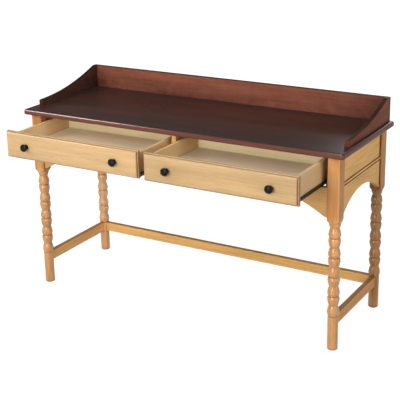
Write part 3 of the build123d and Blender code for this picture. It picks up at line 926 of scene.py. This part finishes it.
def rounded_edge(
    inset: float, depth: float, radius: float, steps: int, skipped: float = 0.0
) -> list[ProfilePoint]:
    """Return a quarter circle from a board's side round to its face.

    Args:
        inset: how far in from the board's outline the circle starts.
        depth: how far behind the front it ends.
        radius: the circle's radius.
        steps: how many facets the quarter has.
        skipped: the part of a facet that is left out at its start.

    Returns:
        The points, inset against depth.
    """
    points = []
    for step in range(steps + 1):
        angle = (step + skipped) / (steps + skipped) * math.pi / 2
        points.append((inset + radius * (1 - math.cos(angle)), depth + radius * (1 - math.sin(angle))))
    return points


def rounded_corners(points: Sequence[ProfilePoint], cut: float, steps: int) -> list[ProfilePoint]:
    """Return an outline whose inner corners are turned into short curves.

    Args:
        points: the outline's corners in order.
        cut: how far from each corner its curve starts.
        steps: facets along each curve.

    Returns:
        The new outline, with the same two ends.
    """
    longest = 0.45  # as a part of the edge that the curve starts on
    made = [points[0]]
    for before, corner, after in zip(points, points[1:], points[2:]):
        here = Vector(corner)
        back, onward = Vector(before) - here, Vector(after) - here
        start = here + back.normalized() * min(cut, back.length * longest)
        end = here + onward.normalized() * min(cut, onward.length * longest)
        for step in range(steps + 1):
            share = step / steps
            place = start * (1 - share) ** 2 + here * (2 * share * (1 - share)) + end * share**2
            made.append((place.x, place.y))
    made.append(points[-1])
    return made


def loft(
    build: bmesh.types.BMesh,
    loops: Sequence[Sequence[Vector]],
    glazed: Sequence[int] = (),
    shadow_sides: Sequence[int] = (),
) -> None:
    """Join closed loops of equal length with quads, and cap the first and last.

    Args:
        build: the mesh under construction.
        loops: the loops in order.
        glazed: the loops whose band up to the next one takes the second finish.
        shadow_sides: the places round the loops whose quads take it too.
    """
    rows = [[build.verts.new(place) for place in loop] for loop in loops]
    for level, (lower, upper) in enumerate(zip(rows, rows[1:])):
        for index in range(len(lower)):
            after = (index + 1) % len(lower)
            quad = build.faces.new((lower[index], lower[after], upper[after], upper[index]))
            quad.material_index = int(level in glazed or index in shadow_sides)
    build.faces.new(rows[0][::-1])
    build.faces.new(rows[-1])


def soften(piece: bpy.types.Object, width: float) -> None:
    """Ease a board's sawn edges with modifiers, so that each catches a thin line of light.

    Args:
        piece: the frame's own node.
        width: how far the ease reaches from an edge, in metres.
    """
    weld = piece.modifiers.new("joined", "WELD")
    weld.merge_threshold = WELD_REACH
    ease = piece.modifiers.new("eased", "BEVEL")
    ease.width = width
    ease.segments = 2
    ease.limit_method = "ANGLE"
    ease.angle_limit = EASED_TURN
    ease.harden_normals = False
    even = piece.modifiers.new("even_light", "WEIGHTED_NORMAL")
    even.keep_sharp = True


class Dresser:
    """Lays finishes on the frame's nodes and on new pieces."""

    def __init__(self, effects: Effects) -> None:
        """Mix the coats that many pieces share, and start the count of boards.

        Args:
            effects: the shared node groups.
        """
        self.effects = effects
        self.coats = {coat.name: coat.dress(effects) for coat in COATS}
        self.sawn = 0

    def offset(self) -> Place:
        """Choose where in its log the next board is sawn, the same on each run.

        Returns:
            The place, in metres, different for each board.
        """
        self.sawn += 1
        turn = self.sawn * GOLDEN_ANGLE
        around = (math.sin(turn), math.cos(turn))
        across = (middle + spread * way for middle, spread, way in zip(LOG_MIDDLE, LOG_SPREAD, around))
        return (BOARD_STEP * self.sawn, *across)

    def board(self, node: str, finish: WoodFinish, grain: Grain, ease: float = 0.0008) -> None:
        """Dress one wooden node of the frame.

        Args:
            node: the node's name.
            finish: its stain and lacquer.
            grain: which way its fibres run.
            ease: width of its eased edges in metres, or 0 to leave them.
        """
        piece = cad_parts[node]
        self.paint(piece, finish.dress(self.effects, grain, self.offset()))
        if ease:
            soften(piece, ease)

    def coated(self, node: str, finish: CoatedFinish) -> None:
        """Dress one metal or plastic node of the frame.

        Args:
            node: the node's name.
            finish: its enamel, metal or nylon.
        """
        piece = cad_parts[node]
        self.paint(piece, self.coats[finish.name])
        if finish.ease:
            soften(piece, finish.ease)

    @staticmethod
    def paint(piece: bpy.types.Object, *materials: bpy.types.Material) -> None:
        """Give a piece its materials.

        Args:
            piece: a node of the frame, or a new piece.
            materials: the first one covers the piece, and a second one the cut grooves and painted-shadow
                strips of a new piece.
        """
        for place in piece.material_slots:
            place.material = materials[0]
        if not piece.material_slots:
            for material in materials:
                piece.data.materials.append(material)

    def new_piece(
        self, piece: bpy.types.Object, body: str, finish: WoodFinish, glaze_and_shadow: WoodFinish, grain: Grain
    ) -> None:
        """Finish a new wooden piece, with a dark second finish in its cut grooves and on its strips of
        painted shadow.

        Args:
            piece: the new piece.
            body: the body that it rides on.
            finish: its stain and lacquer.
            glaze_and_shadow: the second finish, dark glaze in cut grooves and painted shadow on flat
                strips.
            grain: which way its fibres run.
        """
        place = self.offset()
        self.paint(piece, *(coat.dress(self.effects, grain, place) for coat in (finish, glaze_and_shadow)))
        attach(piece, body)


# ---------------------------------------------------------------- sub-assemblies


@dataclass
class WorkTop:
    """The dark top with its thumb-moulded edge and its three gallery boards."""

    edge_ease: float = 0.0006

    def dress(self, dresser: Dresser) -> None:
        """Stain the top and the gallery boards.

        Args:
            dresser: lays the finishes.
        """
        dresser.board("table_top", TOP_STAIN, Grain.ALONG_X, 0.0)
        dresser.board("gallery_back", GALLERY_STAIN, Grain.ALONG_X, self.edge_ease)
        dresser.board("gallery_left", SHADED_GALLERY_STAIN, Grain.ALONG_Y, self.edge_ease)
        dresser.board("gallery_right", GALLERY_STAIN, Grain.ALONG_Y, self.edge_ease)


@dataclass
class BobbinLeg:
    """One turned leg: a square block, a scribed shoulder, a stack of bobbins and a plain foot.

    Attributes:
        block: width of the square block, in mm.
        block_top: its top, under the table top.
        block_bottom: where its square faces end.
        block_ring: how far over that a ring of edges keeps the shading flat.
        collar: radius and height of the collar below it.
        neck: radius of the narrow places between bobbins.
        ridge: radius of the two ridges of a bobbin.
        groove: radius of the groove between them.
        flank_bulge: how far the flanks of a bobbin are bowed out.
        top_neck: height of the neck under the collar.
        lowest_neck: height of the neck above the foot.
        bobbins: how many whole bobbins there are.
        foot: radius and height of the plain foot.
        foot_chamfer: how far its lower edge is cut back.
        corner: radius of the block's eased corners.
        corner_turns: the facets round each of them, as angles from its middle.
        shoulder_bulge: how far the shoulder is bowed out where it runs out under the block.
        shoulder_over: how far it runs past the block's corners.
        meeting: how softly the turning meets the square, in square mm.
        around: how many facets go round the leg.
        places: the ridges and the groove between them, as parts of a bobbin's pitch from the neck above.
        cut_width: width of the fine cuts in the grooves, in mm.
        cut_depth: their depth.
    """

    block: float = 45.0
    block_top: float = 728.0
    block_bottom: float = BLOCK_FOOT
    block_ring: float = 4.0
    collar: ProfilePoint = (22.0, 487.0)
    neck: float = 16.3
    ridge: float = 22.3
    groove: float = 19.6
    flank_bulge: float = 1.1
    top_neck: float = 466.0
    lowest_neck: float = 172.0
    bobbins: int = 4
    foot: ProfilePoint = (19.5, 132.0)
    foot_chamfer: float = 2.5
    corner: float = 1.5
    corner_turns: tuple[float, float, float, float] = (-0.045, -0.018, 0.018, 0.045)
    shoulder_bulge: float = 3.0
    shoulder_over: float = 1.0
    meeting: float = 0.02
    around: int = 72
    places: tuple[float, float, float] = (0.35, 0.49, 0.63)
    cut_width: float = 1.6
    cut_depth: float = 1.0

    @property
    def pitch(self) -> float:
        """The height of one bobbin."""
        return (self.top_neck - self.lowest_neck) / self.bobbins

    def cut(self, radius: float, height: float) -> list[ProfilePoint]:
        """Return a fine cut at a height, from above it to below it."""
        half = self.cut_width / 2
        return [(radius, height + half), (radius - self.cut_depth, height), (radius, height - half)]

    def cuts(self) -> list[float]:
        """Return the heights of the fine cuts, one round each bobbin's middle and one over the foot."""
        shares = [bobbin + self.places[1] for bobbin in range(self.bobbins)]
        return [*(self.top_neck - share * self.pitch for share in shares), self.foot[1]]

    def outline(self) -> list[ProfilePoint]:
        """Draw the turned outline.

        Returns:
            Its points from the floor up, radius against height, in mm.
        """
        first, middle, last = self.places
        down = [self.collar]
        for bobbin in range(self.bobbins + 1):
            neck = self.top_neck - bobbin * self.pitch
            for corner in ((self.neck, neck), (self.ridge, neck - first * self.pitch)):
                down += bowed(down[-1], corner, rise=self.flank_bulge, steps=8)
            if bobbin < self.bobbins:
                down += self.cut(self.groove, neck - middle * self.pitch)
                down.append((self.ridge, neck - last * self.pitch))
        radius, height = self.foot
        down += self.cut(radius, height)
        down += [(radius, self.foot_chamfer), (radius - self.foot_chamfer, 0.0)]
        return rounded_corners(down[::-1], cut=0.5, steps=2)

    def square_reach(self, angle: float) -> float:
        """Measure the square block, its corners eased.

        Args:
            angle: which way to measure.

        Returns:
            How far the block reaches from its middle that way, in mm.
        """
        along, across = abs(math.cos(angle)), abs(math.sin(angle))
        half, inner = self.block / 2, self.block / 2 - self.corner
        flat = half / max(along, across)
        if flat * min(along, across) <= inner:
            return flat
        total = inner * (along + across)
        return total + math.sqrt(max(total**2 - 2 * inner**2 + self.corner**2, 0.0))

    def reach(self, radius: float, angle: float) -> float:
        """Measure the leg, where the turning and the square cut each other.

        Args:
            radius: the turning's radius, in mm.
            angle: which way to measure.

        Returns:
            How far the leg reaches from its middle that way, which is the lesser of the two.
        """
        square = self.square_reach(angle)
        gap = 0.5 * (radius - square)
        return (radius + square) / 2 - math.sqrt(gap**2 + self.meeting)

    def build(self, name: str, x: float, y: float) -> bpy.types.Object:
        """Turn the leg over a place on the floor.

        Args:
            name: the piece's name.
            x: the place's distance to the right, in mm.
            y: its distance to the back.

        Returns:
            The leg, in metres, in the part's frame.
        """
        angles = [index * 2 * math.pi / self.around for index in range(self.around)]
        for corner in range(4):
            middle = math.pi / 4 + corner * math.pi / 2
            angles += [middle + step for step in self.corner_turns]
        angles = sorted(angle % (2 * math.pi) for angle in angles)

        rows = self.outline()
        wide = self.block / math.sqrt(2) + self.shoulder_over
        rows += bowed(rows[-1], (wide, self.block_bottom), rise=-self.shoulder_bulge, steps=22)
        rows += [(wide, self.block_bottom + self.block_ring), (wide, self.block_top)]
        slack = 0.05
        near = self.cut_width / 2 + slack
        middles = [(low[1] + high[1]) / 2 for low, high in zip(rows, rows[1:])]
        cuts = self.cuts()
        glazed = [row for row, at in enumerate(middles) if any(abs(at - cut) < near for cut in cuts)]

        build = bmesh.new()
        loops = []
        for radius, height in rows:
            loops.append([])
            for angle in angles:
                reach = self.reach(radius, angle)
                place = Vector((x + reach * math.cos(angle), y + reach * math.sin(angle), height))
                loops[-1].append(place * MM)
        loft(build, loops, glazed)
        return link_mesh(name, build, Crease.TURNED)


@dataclass
class Undercarriage:
    """Legs, stretchers and the boards between the legs' blocks.

    Attributes:
        leg: the leg that all four follow.
        leg_x: the legs' distance from the desk's middle, in mm.
        front_y: where the front legs stand.
        rear_y: where the rear legs stand.
        panel_face: distance of the upper side board's face from the desk's middle.
        valance_face: distance of the lower side board's face.
        bead_back: distance of the bead's hidden back.
        bead_crown: distance of its crown.
        bead_rise: how far its crown stands out from its flanks.
        bead_facets: facets over the crown.
        bead_z: its lower and upper edge.
        board_y: the side boards' two ends.
        quirk: height of the flat dark strip of painted shadow over the bead.
        deep_quirk: height of the one under it.
        quirk_slope: height of the step from a strip to the bead.
        shade: width of the upright strips of painted shadow.
        sunk: how far they reach into the boards.
        scribe_gap: how far over the block's foot they begin.
        proud: how far the strips stand out from the boards.
    """

    leg: BobbinLeg = field(default_factory=BobbinLeg)
    leg_x: float = 641.5
    front_y: float = -86.0
    rear_y: float = 316.0
    panel_face: float = 656.0
    valance_face: float = 658.0
    bead_back: float = 640.0
    bead_crown: float = 660.5
    bead_rise: float = 4.0
    bead_facets: int = 12
    bead_z: tuple[float, float] = (615.0, 624.0)
    board_y: tuple[float, float] = (-63.5, 293.5)
    quirk: float = 2.4
    deep_quirk: float = 4.4
    quirk_slope: float = 0.4
    shade: float = 6.0
    sunk: float = 2.0
    scribe_gap: float = 1.5
    proud: float = 0.15

    def bead(self, side: Side) -> bpy.types.Object:
        """Run a half-round bead between two flat dark strips of painted shadow along one side of the frame.

        Args:
            side: the end of the desk that it is on.

        Returns:
            The bead, in metres, in the part's frame.
        """
        foot, head = self.bead_z
        low, high = foot - self.deep_quirk, head + self.quirk
        lower, upper = self.valance_face + self.proud, self.panel_face + self.proud
        flank = self.bead_crown - self.bead_rise
        outline = [(self.bead_back, high), (self.bead_back, low), (lower, low)]
        outline += [(lower, foot - self.quirk_slope), (flank, foot)]
        for facet in range(1, self.bead_facets):
            angle = -math.pi / 2 + facet / self.bead_facets * math.pi
            z = (foot + head) / 2 + (head - foot) / 2 * math.sin(angle)
            outline.append((flank + self.bead_rise * math.cos(angle), z))
        outline += [(flank, head), (upper, head + self.quirk_slope), (upper, high)]
        last = len(outline) - 1
        build = bmesh.new()
        loops = [[Vector((side.value * x, y, z)) * MM for x, z in outline] for y in self.board_y]
        loft(build, loops, shadow_sides=(2, 3, last - 2, last - 1))
        return link_mesh(f"quirked_bead_{side.word}", build, Crease.BEAD)

    def quirks(self, side: Side) -> bpy.types.Object:
        """Lay upright flat dark strips of painted shadow where the side's boards meet the legs' blocks.

        Args:
            side: the end of the desk that they are on.

        Returns:
            The strips as one piece, in metres, in the part's frame.
        """
        foot, head = self.bead_z
        front, rear = self.board_y
        build = bmesh.new()
        for face, low, high in (
            (self.valance_face, self.leg.block_bottom + self.scribe_gap, foot - self.deep_quirk),
            (self.panel_face, head + self.quirk, self.leg.block_top),
        ):
            deep, shallow = face - self.sunk, face + self.proud
            for near, away in ((front, front + self.shade), (rear - self.shade, rear)):
                corners = ((deep, near), (shallow, near), (shallow, away), (deep, away))
                strip = [[Vector((side.value * x, y, z)) * MM for x, y in corners] for z in (low, high)]
                loft(build, strip)
        return link_mesh(f"upright_quirks_{side.word}", build, Crease.BEAD)

    def dress(self, dresser: Dresser) -> None:
        """Turn the legs and lacquer every board of the frame.

        Args:
            dresser: lays the finishes.
        """
        for side in Side:
            for row, y in (("front", self.front_y), ("rear", self.rear_y)):
                node = f"leg_{row}_{side.word}"
                piece = self.leg.build(f"turned_{node}", side.value * self.leg_x, y)
                dresser.new_piece(piece, "desk", LEG_LOGS[node], LEG_GLAZE, Grain.ALONG_Z)
                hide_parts(node)
            bead = self.bead(side)
            dresser.new_piece(bead, "desk", SIDE_LACQUER, PAINTED_QUIRK_SHADOW, Grain.ALONG_Y)
            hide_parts(f"side_bead_{side.word}")
            # Flat dark strips at the boards' ends: painted shadow.
            dresser.new_piece(self.quirks(side), "desk", PAINTED_QUIRK_SHADOW, PAINTED_QUIRK_SHADOW, Grain.ALONG_Z)
        for side in Side:
            for board in ("side_panel", "side_valance"):
                dresser.board(f"{board}_{side.word}", SIDE_LACQUER, Grain.ALONG_Y)
            dresser.board(f"stretcher_{side.word}", STRETCHER_LOGS[side], Grain.ALONG_Y)
            for board in ("top_cleat", "runner_cleat"):
                dresser.board(f"{board}_{side.word}", STRAW_LACQUER, Grain.ALONG_Y)
        dresser.board("front_valance", SHADED_LACQUER, Grain.ALONG_X)
        for board in ("stretcher_rear", "back_panel", "top_rail"):
            dresser.board(board, STRAW_LACQUER, Grain.ALONG_X)
        dresser.board("centre_post", STRAW_LACQUER, Grain.ALONG_Z)
        dresser.board("centre_runner", STRAW_LACQUER, Grain.ALONG_Y)


@dataclass
class Knob:
    """One turned knob: a flange, a waist and a domed head, in mm before the drawer's face.

    Attributes:
        radius: radius of the head.
        flange: radius of the flange.
        waist: radius of the waist.
        waist_span: depths at which the waist begins and ends.
        cove: the hollow between the flange and the waist, radius against depth.
        flare: the swelling between the waist and the head, radius against depth.
        brim: depth at which the head is widest.
        length: depth of the knob's tip.
        tip: radius of the flat on the tip.
        facets: how many facets go round it.
    """

    radius: float = 15.0
    flange: float = 9.0
    waist: float = 6.5
    waist_span: tuple[float, float] = (5.0, 10.5)
    cove: tuple[ProfilePoint, ...] = ((9.0, 2.6), (8.6, 3.0), (6.9, 4.0))
    flare: tuple[ProfilePoint, ...] = ((7.2, 12.1), (9.8, 13.4), (13.6, 14.9), (14.7, 15.8))
    brim: float = 16.8
    length: float = 24.0
    tip: float = 0.25
    facets: int = 48

    def outline(self) -> list[ProfilePoint]:
        """Draw the turned outline.

        Returns:
            Its points, radius against depth.
        """
        waist = [(self.waist, depth) for depth in self.waist_span]
        made = [(self.flange, 0.0), *self.cove, *waist, *self.flare, (self.radius, self.brim)]
        for step in range(1, 10):
            angle = step / 10 * math.pi / 2
            dome = (self.length - self.brim) * math.sin(angle)
            made.append((self.radius * math.cos(angle), self.brim + dome))
        return [*made, (self.tip, self.length)]

    def turn(self, build: bmesh.types.BMesh, foot: Vector) -> None:
        """Add the knob to a mesh.

        Args:
            build: the mesh under construction.
            foot: the middle of the knob's flange, in mm.
        """
        turns = [index / self.facets * 2 * math.pi for index in range(self.facets)]
        loops = []
        for radius, depth in self.outline():
            centre = foot - Vector((0.0, depth, 0.0))
            spokes = [Vector((math.cos(turn), 0.0, math.sin(turn))) * radius for turn in turns]
            loops.append([(centre + spoke) * MM for spoke in spokes])
        loft(build, loops)


@dataclass
class Drawer:
    """One drawer: a moulded front on a jointed box, two knobs and its half of the slides.

    Attributes:
        side: which end of the desk it is at.
        face_y: the front's face, in mm.
        lacquer: the finish of its front.
        floor: the finish of its floor.
        inner_x: the front's end nearest the desk's middle, in mm from it.
        outer_x: the front's other end.
        bottom: the front's lower edge.
        top: its upper edge.
        thickness: the front's thickness.
        knob: the knob that both follow.
        knob_x: the knobs' distances from the desk's middle.
        field_inset: how far the raised field stands in from the front's edges.
        field_rise: how far it stands proud of the board behind it.
        field_round: radius of its edges.
        back_round: radius of the edges of the board behind it.
        back_ease: how far that board's rear edges are cut back.
        quirk_depth: depth of the narrow groove round the field's foot.
        quirk_walls: how far the groove's walls lean in, at the board and at the field.
    """

    side: Side
    face_y: float
    lacquer: WoodFinish
    floor: WoodFinish
    inner_x: float = 14.0
    outer_x: float = 614.0
    bottom: float = 615.5
    top: float = 719.0
    thickness: float = 20.0
    knob: Knob = field(default_factory=Knob)
    knob_x: tuple[float, float] = (113.0, 515.0)
    field_inset: float = 3.5
    field_rise: float = 7.0
    field_round: float = 6.5
    back_round: float = 2.2
    back_ease: float = 0.5
    quirk_depth: float = 2.0
    quirk_walls: tuple[float, float] = (0.1, 0.4)

    @property
    def body(self) -> str:
        """The moving body that the drawer's pieces ride on."""
        return f"drawer_{self.side.word}"

    def front(self) -> bpy.types.Object:
        """Build the front: a board with eased edges and a raised field with rounded ones before it.

        Returns:
            The front, in metres, in the part's frame.
        """
        outline = [(self.back_ease, self.thickness), (0.0, self.thickness - self.back_ease)]
        outline += rounded_edge(0.0, self.field_rise, self.back_round, steps=5)
        first = len(outline) - 1
        quirk = self.field_rise + self.quirk_depth
        board_wall, field_wall = self.quirk_walls
        outline += [(self.back_round + board_wall, quirk), (self.field_inset + field_wall, quirk)]
        outline += rounded_edge(self.field_inset, 0.0, self.field_round, steps=10, skipped=0.8)

        low_x, high_x = sorted((self.side.value * self.inner_x, self.side.value * self.outer_x))
        build = bmesh.new()
        loops = []
        for inset, depth in outline:
            left, right = low_x + inset, high_x - inset
            low, high = self.bottom + inset, self.top - inset
            corners = ((left, low), (right, low), (right, high), (left, high))
            loops.append([Vector((x, self.face_y + depth, z)) * MM for x, z in corners])
        loft(build, loops, (first, first + 1, first + 2))
        return link_mesh(f"moulded_{self.body}_front", build, Crease.MOULDED)

    def knobs(self) -> bpy.types.Object:
        """Turn the drawer's two knobs.

        Returns:
            The knobs as one piece, in metres, in the part's frame.
        """
        build = bmesh.new()
        middle = (self.bottom + self.top) / 2
        for x in self.knob_x:
            self.knob.turn(build, Vector((self.side.value * x, self.face_y, middle)))
        return link_mesh(f"turned_{self.body}_knobs", build, Crease.MOULDED)

    def dress(self, dresser: Dresser) -> None:
        """Build the front and knobs, and finish the box and its slides.

        Args:
            dresser: lays the finishes.
        """
        front = self.front()
        dresser.new_piece(front, self.body, self.lacquer, FRONT_GLAZE, Grain.ALONG_X)
        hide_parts(f"{self.body}_front")

        knobs = self.knobs()
        dresser.paint(knobs, dresser.coats[KNOB_ENAMEL.name])
        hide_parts(f"{self.body}_knobs")
        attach(knobs, self.body)

        for wall in ("side_inner", "side_outer"):
            dresser.board(f"{self.body}_{wall}", BOX_LACQUER, Grain.ALONG_Y)
        dresser.board(f"{self.body}_back", PLY_LACQUER, Grain.ALONG_X)
        dresser.board(f"{self.body}_bottom", self.floor, Grain.ALONG_X, 0.0)
        for place in ("inner", "outer"):
            dresser.coated(f"{self.body}_rail_{place}", SLIDE_ENAMEL)
        dresser.coated(f"{self.body}_rollers", ROLLER_NYLON)
        dresser.coated(f"{self.body}_knob_screws", SCREW_ZINC)


class FrameSlides:
    """The channels and rollers screwed to the frame."""

    def dress(self, dresser: Dresser) -> None:
        """Finish the channels and their rollers.

        Args:
            dresser: lays the finishes.
        """
        for side in Side:
            for place in ("inner", "outer"):
                dresser.coated(f"channel_{side.word}_{place}", SLIDE_ENAMEL)
        dresser.coated("channel_rollers", ROLLER_NYLON)


# ---------------------------------------------------------------- studio


def direction(azimuth: float, elevation: float) -> Vector:
    """Return the way to a place round the desk, from its azimuth and its elevation in degrees."""
    turn, rise = math.radians(azimuth), math.radians(elevation)
    return Vector((math.sin(turn) * math.cos(rise), -math.cos(turn) * math.cos(rise), math.sin(rise)))


@dataclass(frozen=True)
class Softbox:
    """One square lamp aimed at the desk.

    Attributes:
        name: the lamp's name.
        azimuth: where it stands round the desk, 0 in front and 90 at its right end, in degrees.
        elevation: its height above the horizon, in degrees.
        distance: from the desk's middle, in metres.
        size: its side, in metres.
        level: brightness of a white surface that faces it, where 1 is white.
    """

    name: str
    azimuth: float
    elevation: float
    distance: float
    size: float
    level: float

    def place(self, target: Vector) -> None:
        """Hang the lamp and turn it to the target.

        Args:
            target: what it is turned to, in metres.
        """
        lamp = bpy.data.lights.new(self.name, "AREA")
        lamp.shape = "SQUARE"
        lamp.size = self.size
        lamp.energy = self.level * math.pi**2 * self.distance**2
        holder = bpy.data.objects.new(self.name, lamp)
        bpy.context.scene.collection.objects.link(holder)
        away = direction(self.azimuth, self.elevation)
        holder.location = target + away * self.distance
        holder.rotation_euler = (-away).to_track_quat("-Z", "Y").to_euler()


@dataclass
class Studio:
    """Pale floor and backdrop, soft lamps and the camera.

    Attributes:
        floor_half: half the floor's width, in metres.
        wall_half: the backdrop's distance from the middle.
        wall_rise: its height.
        focal: the camera's focal length, in pixels of the picture.
        azimuth: where the camera stands round the desk, in degrees.
        elevation: how steeply it looks down.
        roll: how far it leans.
        position: its place.
        rise: how far the picture is shifted, in pixels.
        target: what the lamps are aimed at.
        lamps: the lamps.
        room: level of the even light.
    """

    floor_half: float = 200.0
    wall_half: float = 196.0
    wall_rise: float = 31.0
    focal: float = 1025.8
    azimuth: float = 30.60
    elevation: float = 17.31
    roll: float = -1.079
    position: Place = (1.9375, -3.1901, 1.7603)
    rise: float = 40.0
    target: Place = (0.0, 0.06, 0.50)
    lamps: tuple[Softbox, ...] = (
        Softbox("key_lamp", -50.0, 33.0, 4.2, 1.1, 0.25),
        Softbox("front_lamp", 2.0, 11.0, 5.5, 1.9, 0.54),
        Softbox("fill_lamp", 0.0, 31.0, 5.0, 1.5, 0.21),
        Softbox("side_lamp", 72.0, 14.0, 9.0, 8.5, 0.51),
        Softbox("high_lamp", 0.0, 70.0, 5.0, 2.5, 0.23),
        Softbox("rear_lamp", 180.0, 8.0, 8.0, 5.0, 0.40),
    )
    room: float = 0.16

    def camera(self) -> None:
        """Place the camera and make it the scene's own."""
        eye = bpy.data.cameras.new("desk_camera")
        eye.sensor_width = 36.0
        eye.sensor_fit = "HORIZONTAL"
        eye.lens = self.focal * eye.sensor_width / FRAME_PIXELS
        eye.shift_y = -self.rise / FRAME_PIXELS
        eye.dof.use_dof = False
        eye.clip_end = 900.0
        roll = math.radians(self.roll)
        back = direction(self.azimuth, self.elevation)
        level = (-back).cross(Vector((0.0, 0.0, 1.0))).normalized()
        upright = level.cross(-back).normalized()
        right = level * math.cos(roll) + upright * math.sin(roll)
        up = upright * math.cos(roll) - level * math.sin(roll)
        holder = bpy.data.objects.new("desk_camera", eye)
        bpy.context.scene.collection.objects.link(holder)
        holder.rotation_euler = Matrix((right, up, back)).transposed().to_euler()
        holder.location = self.position
        bpy.context.scene.camera = holder

    @staticmethod
    def seen_by(graph: Graph, *rays: str) -> Socket:
        """Tell some kinds of rays from all others.

        Args:
            graph: the graph to build in.
            rays: the Light Path outputs of the kinds that count.

        Returns:
            1 for rays of those kinds, and 0 for others.
        """
        path = graph.add("ShaderNodeLightPath").outputs
        seen = path[rays[0]]
        for ray in rays[1:]:
            seen = graph.math("MAXIMUM", seen, path[ray])
        return seen

    def two_faced(self, graph: Graph, lit: bpy.types.Node, seen: bpy.types.Node) -> None:
        """Make a surface that shows one shader to the eye, mirrors and glass, and another to all else.

        Args:
            graph: the material's graph.
            lit: the shader for all else.
            seen: the shader for the eye, mirrors and glass.
        """
        share = self.seen_by(graph, "Is Camera Ray", "Is Glossy Ray", "Is Transmission Ray")
        both = graph.add("ShaderNodeMixShader", {0: share, 1: lit.outputs[0], 2: seen.outputs[0]})
        graph.add("ShaderNodeOutputMaterial", {"Surface": both.outputs[0]})

    def floor(self) -> None:
        """Lay a wide pale floor that keeps a soft shadow."""
        build = bmesh.new()
        bmesh.ops.create_grid(build, x_segments=4, y_segments=4, size=self.floor_half)
        ground = link_mesh("pale_floor", build, Crease.STAGE)
        material, graph = new_material("pale_floor_paper")
        place = graph.add("ShaderNodeTexCoord").outputs["Object"]
        tooth = graph.noise(place, scale=240.0, detail=2.0)
        paper = graph.add("ShaderNodeBsdfDiffuse", {"Color": graph.blend(tooth, grey(0.32), grey(0.36))})
        away = graph.vector("LENGTH", place)
        level = graph.levels(away, low=1.2, high=3.5, to_low=0.92, to_high=1.0)
        shade = graph.add("ShaderNodeBsdfDiffuse", {"Color": grey(0.20)})
        glow = graph.add("ShaderNodeEmission", {"Color": grey(1.0), "Strength": level})
        bright = graph.add("ShaderNodeAddShader", {0: shade.outputs[0], 1: glow.outputs[0]})
        self.two_faced(graph, paper, bright)
        Dresser.paint(ground, material)

    def backdrop(self) -> None:
        """Stand a low white wall round the edge of the floor, which only the eye and mirrors see."""
        build = bmesh.new()
        half = self.wall_half
        corners = ((-half, -half), (half, -half), (half, half), (-half, half))
        feet, heads = ([build.verts.new((x, y, z)) for x, y in corners] for z in (0.0, self.wall_rise))
        for index in range(4):
            after = (index + 1) % 4
            build.faces.new((feet[index], feet[after], heads[after], heads[index]))
        wall = link_mesh("white_backdrop", build, Crease.STAGE)
        material, graph = new_material("white_backdrop_paper")
        clear = graph.add("ShaderNodeBsdfTransparent")
        glow = graph.add("ShaderNodeEmission", {"Color": grey(1.0), "Strength": 1.0})
        self.two_faced(graph, clear, glow)
        Dresser.paint(wall, material)

    def surroundings(self) -> None:
        """Fill the room with even, dim light, which the eye sees as white over the backdrop."""
        world = bpy.data.worlds.new("studio_room")
        bpy.context.scene.world = world
        world.use_nodes = True
        graph = Graph(world.node_tree)
        seen = self.seen_by(graph, "Is Camera Ray", "Is Transmission Ray")
        level = graph.levels(seen, 0.0, 1.0, self.room, 1.0)
        light = graph.add("ShaderNodeBackground", {"Color": grey(1.0), "Strength": level})
        graph.add("ShaderNodeOutputWorld", {"Surface": light.outputs[0]})

    def build(self) -> None:
        """Set up camera, floor, backdrop, room, lamps and the plain view transform."""
        self.camera()
        self.floor()
        self.backdrop()
        self.surroundings()
        for lamp in self.lamps:
            lamp.place(Vector(self.target))
        bpy.context.scene.view_settings.view_transform = "Standard"


def main() -> None:
    """Build the studio and dress each sub-assembly in turn."""
    logging.basicConfig(level=logging.INFO, format="%(name)s: %(message)s")
    Studio().build()
    LOG.info("studio ready")
    dresser = Dresser(Effects())
    WorkTop().dress(dresser)
    LOG.info("top and gallery stained")
    Undercarriage().dress(dresser)
    LOG.info("legs turned and frame lacquered")
    drawers = (
        Drawer(Side.LEFT, -328.5, PALE_LACQUER, FLOOR_LACQUER),
        Drawer(Side.RIGHT, -334.5, SHADED_RIGHT_FRONT_LACQUER, SHADED_FLOOR_LACQUER),
    )
    for drawer in drawers:
        drawer.dress(dresser)
        LOG.info("%s built", drawer.body)
    FrameSlides().dress(dresser)
    LOG.info("slides finished")


if __name__ == "__main__":
    main()
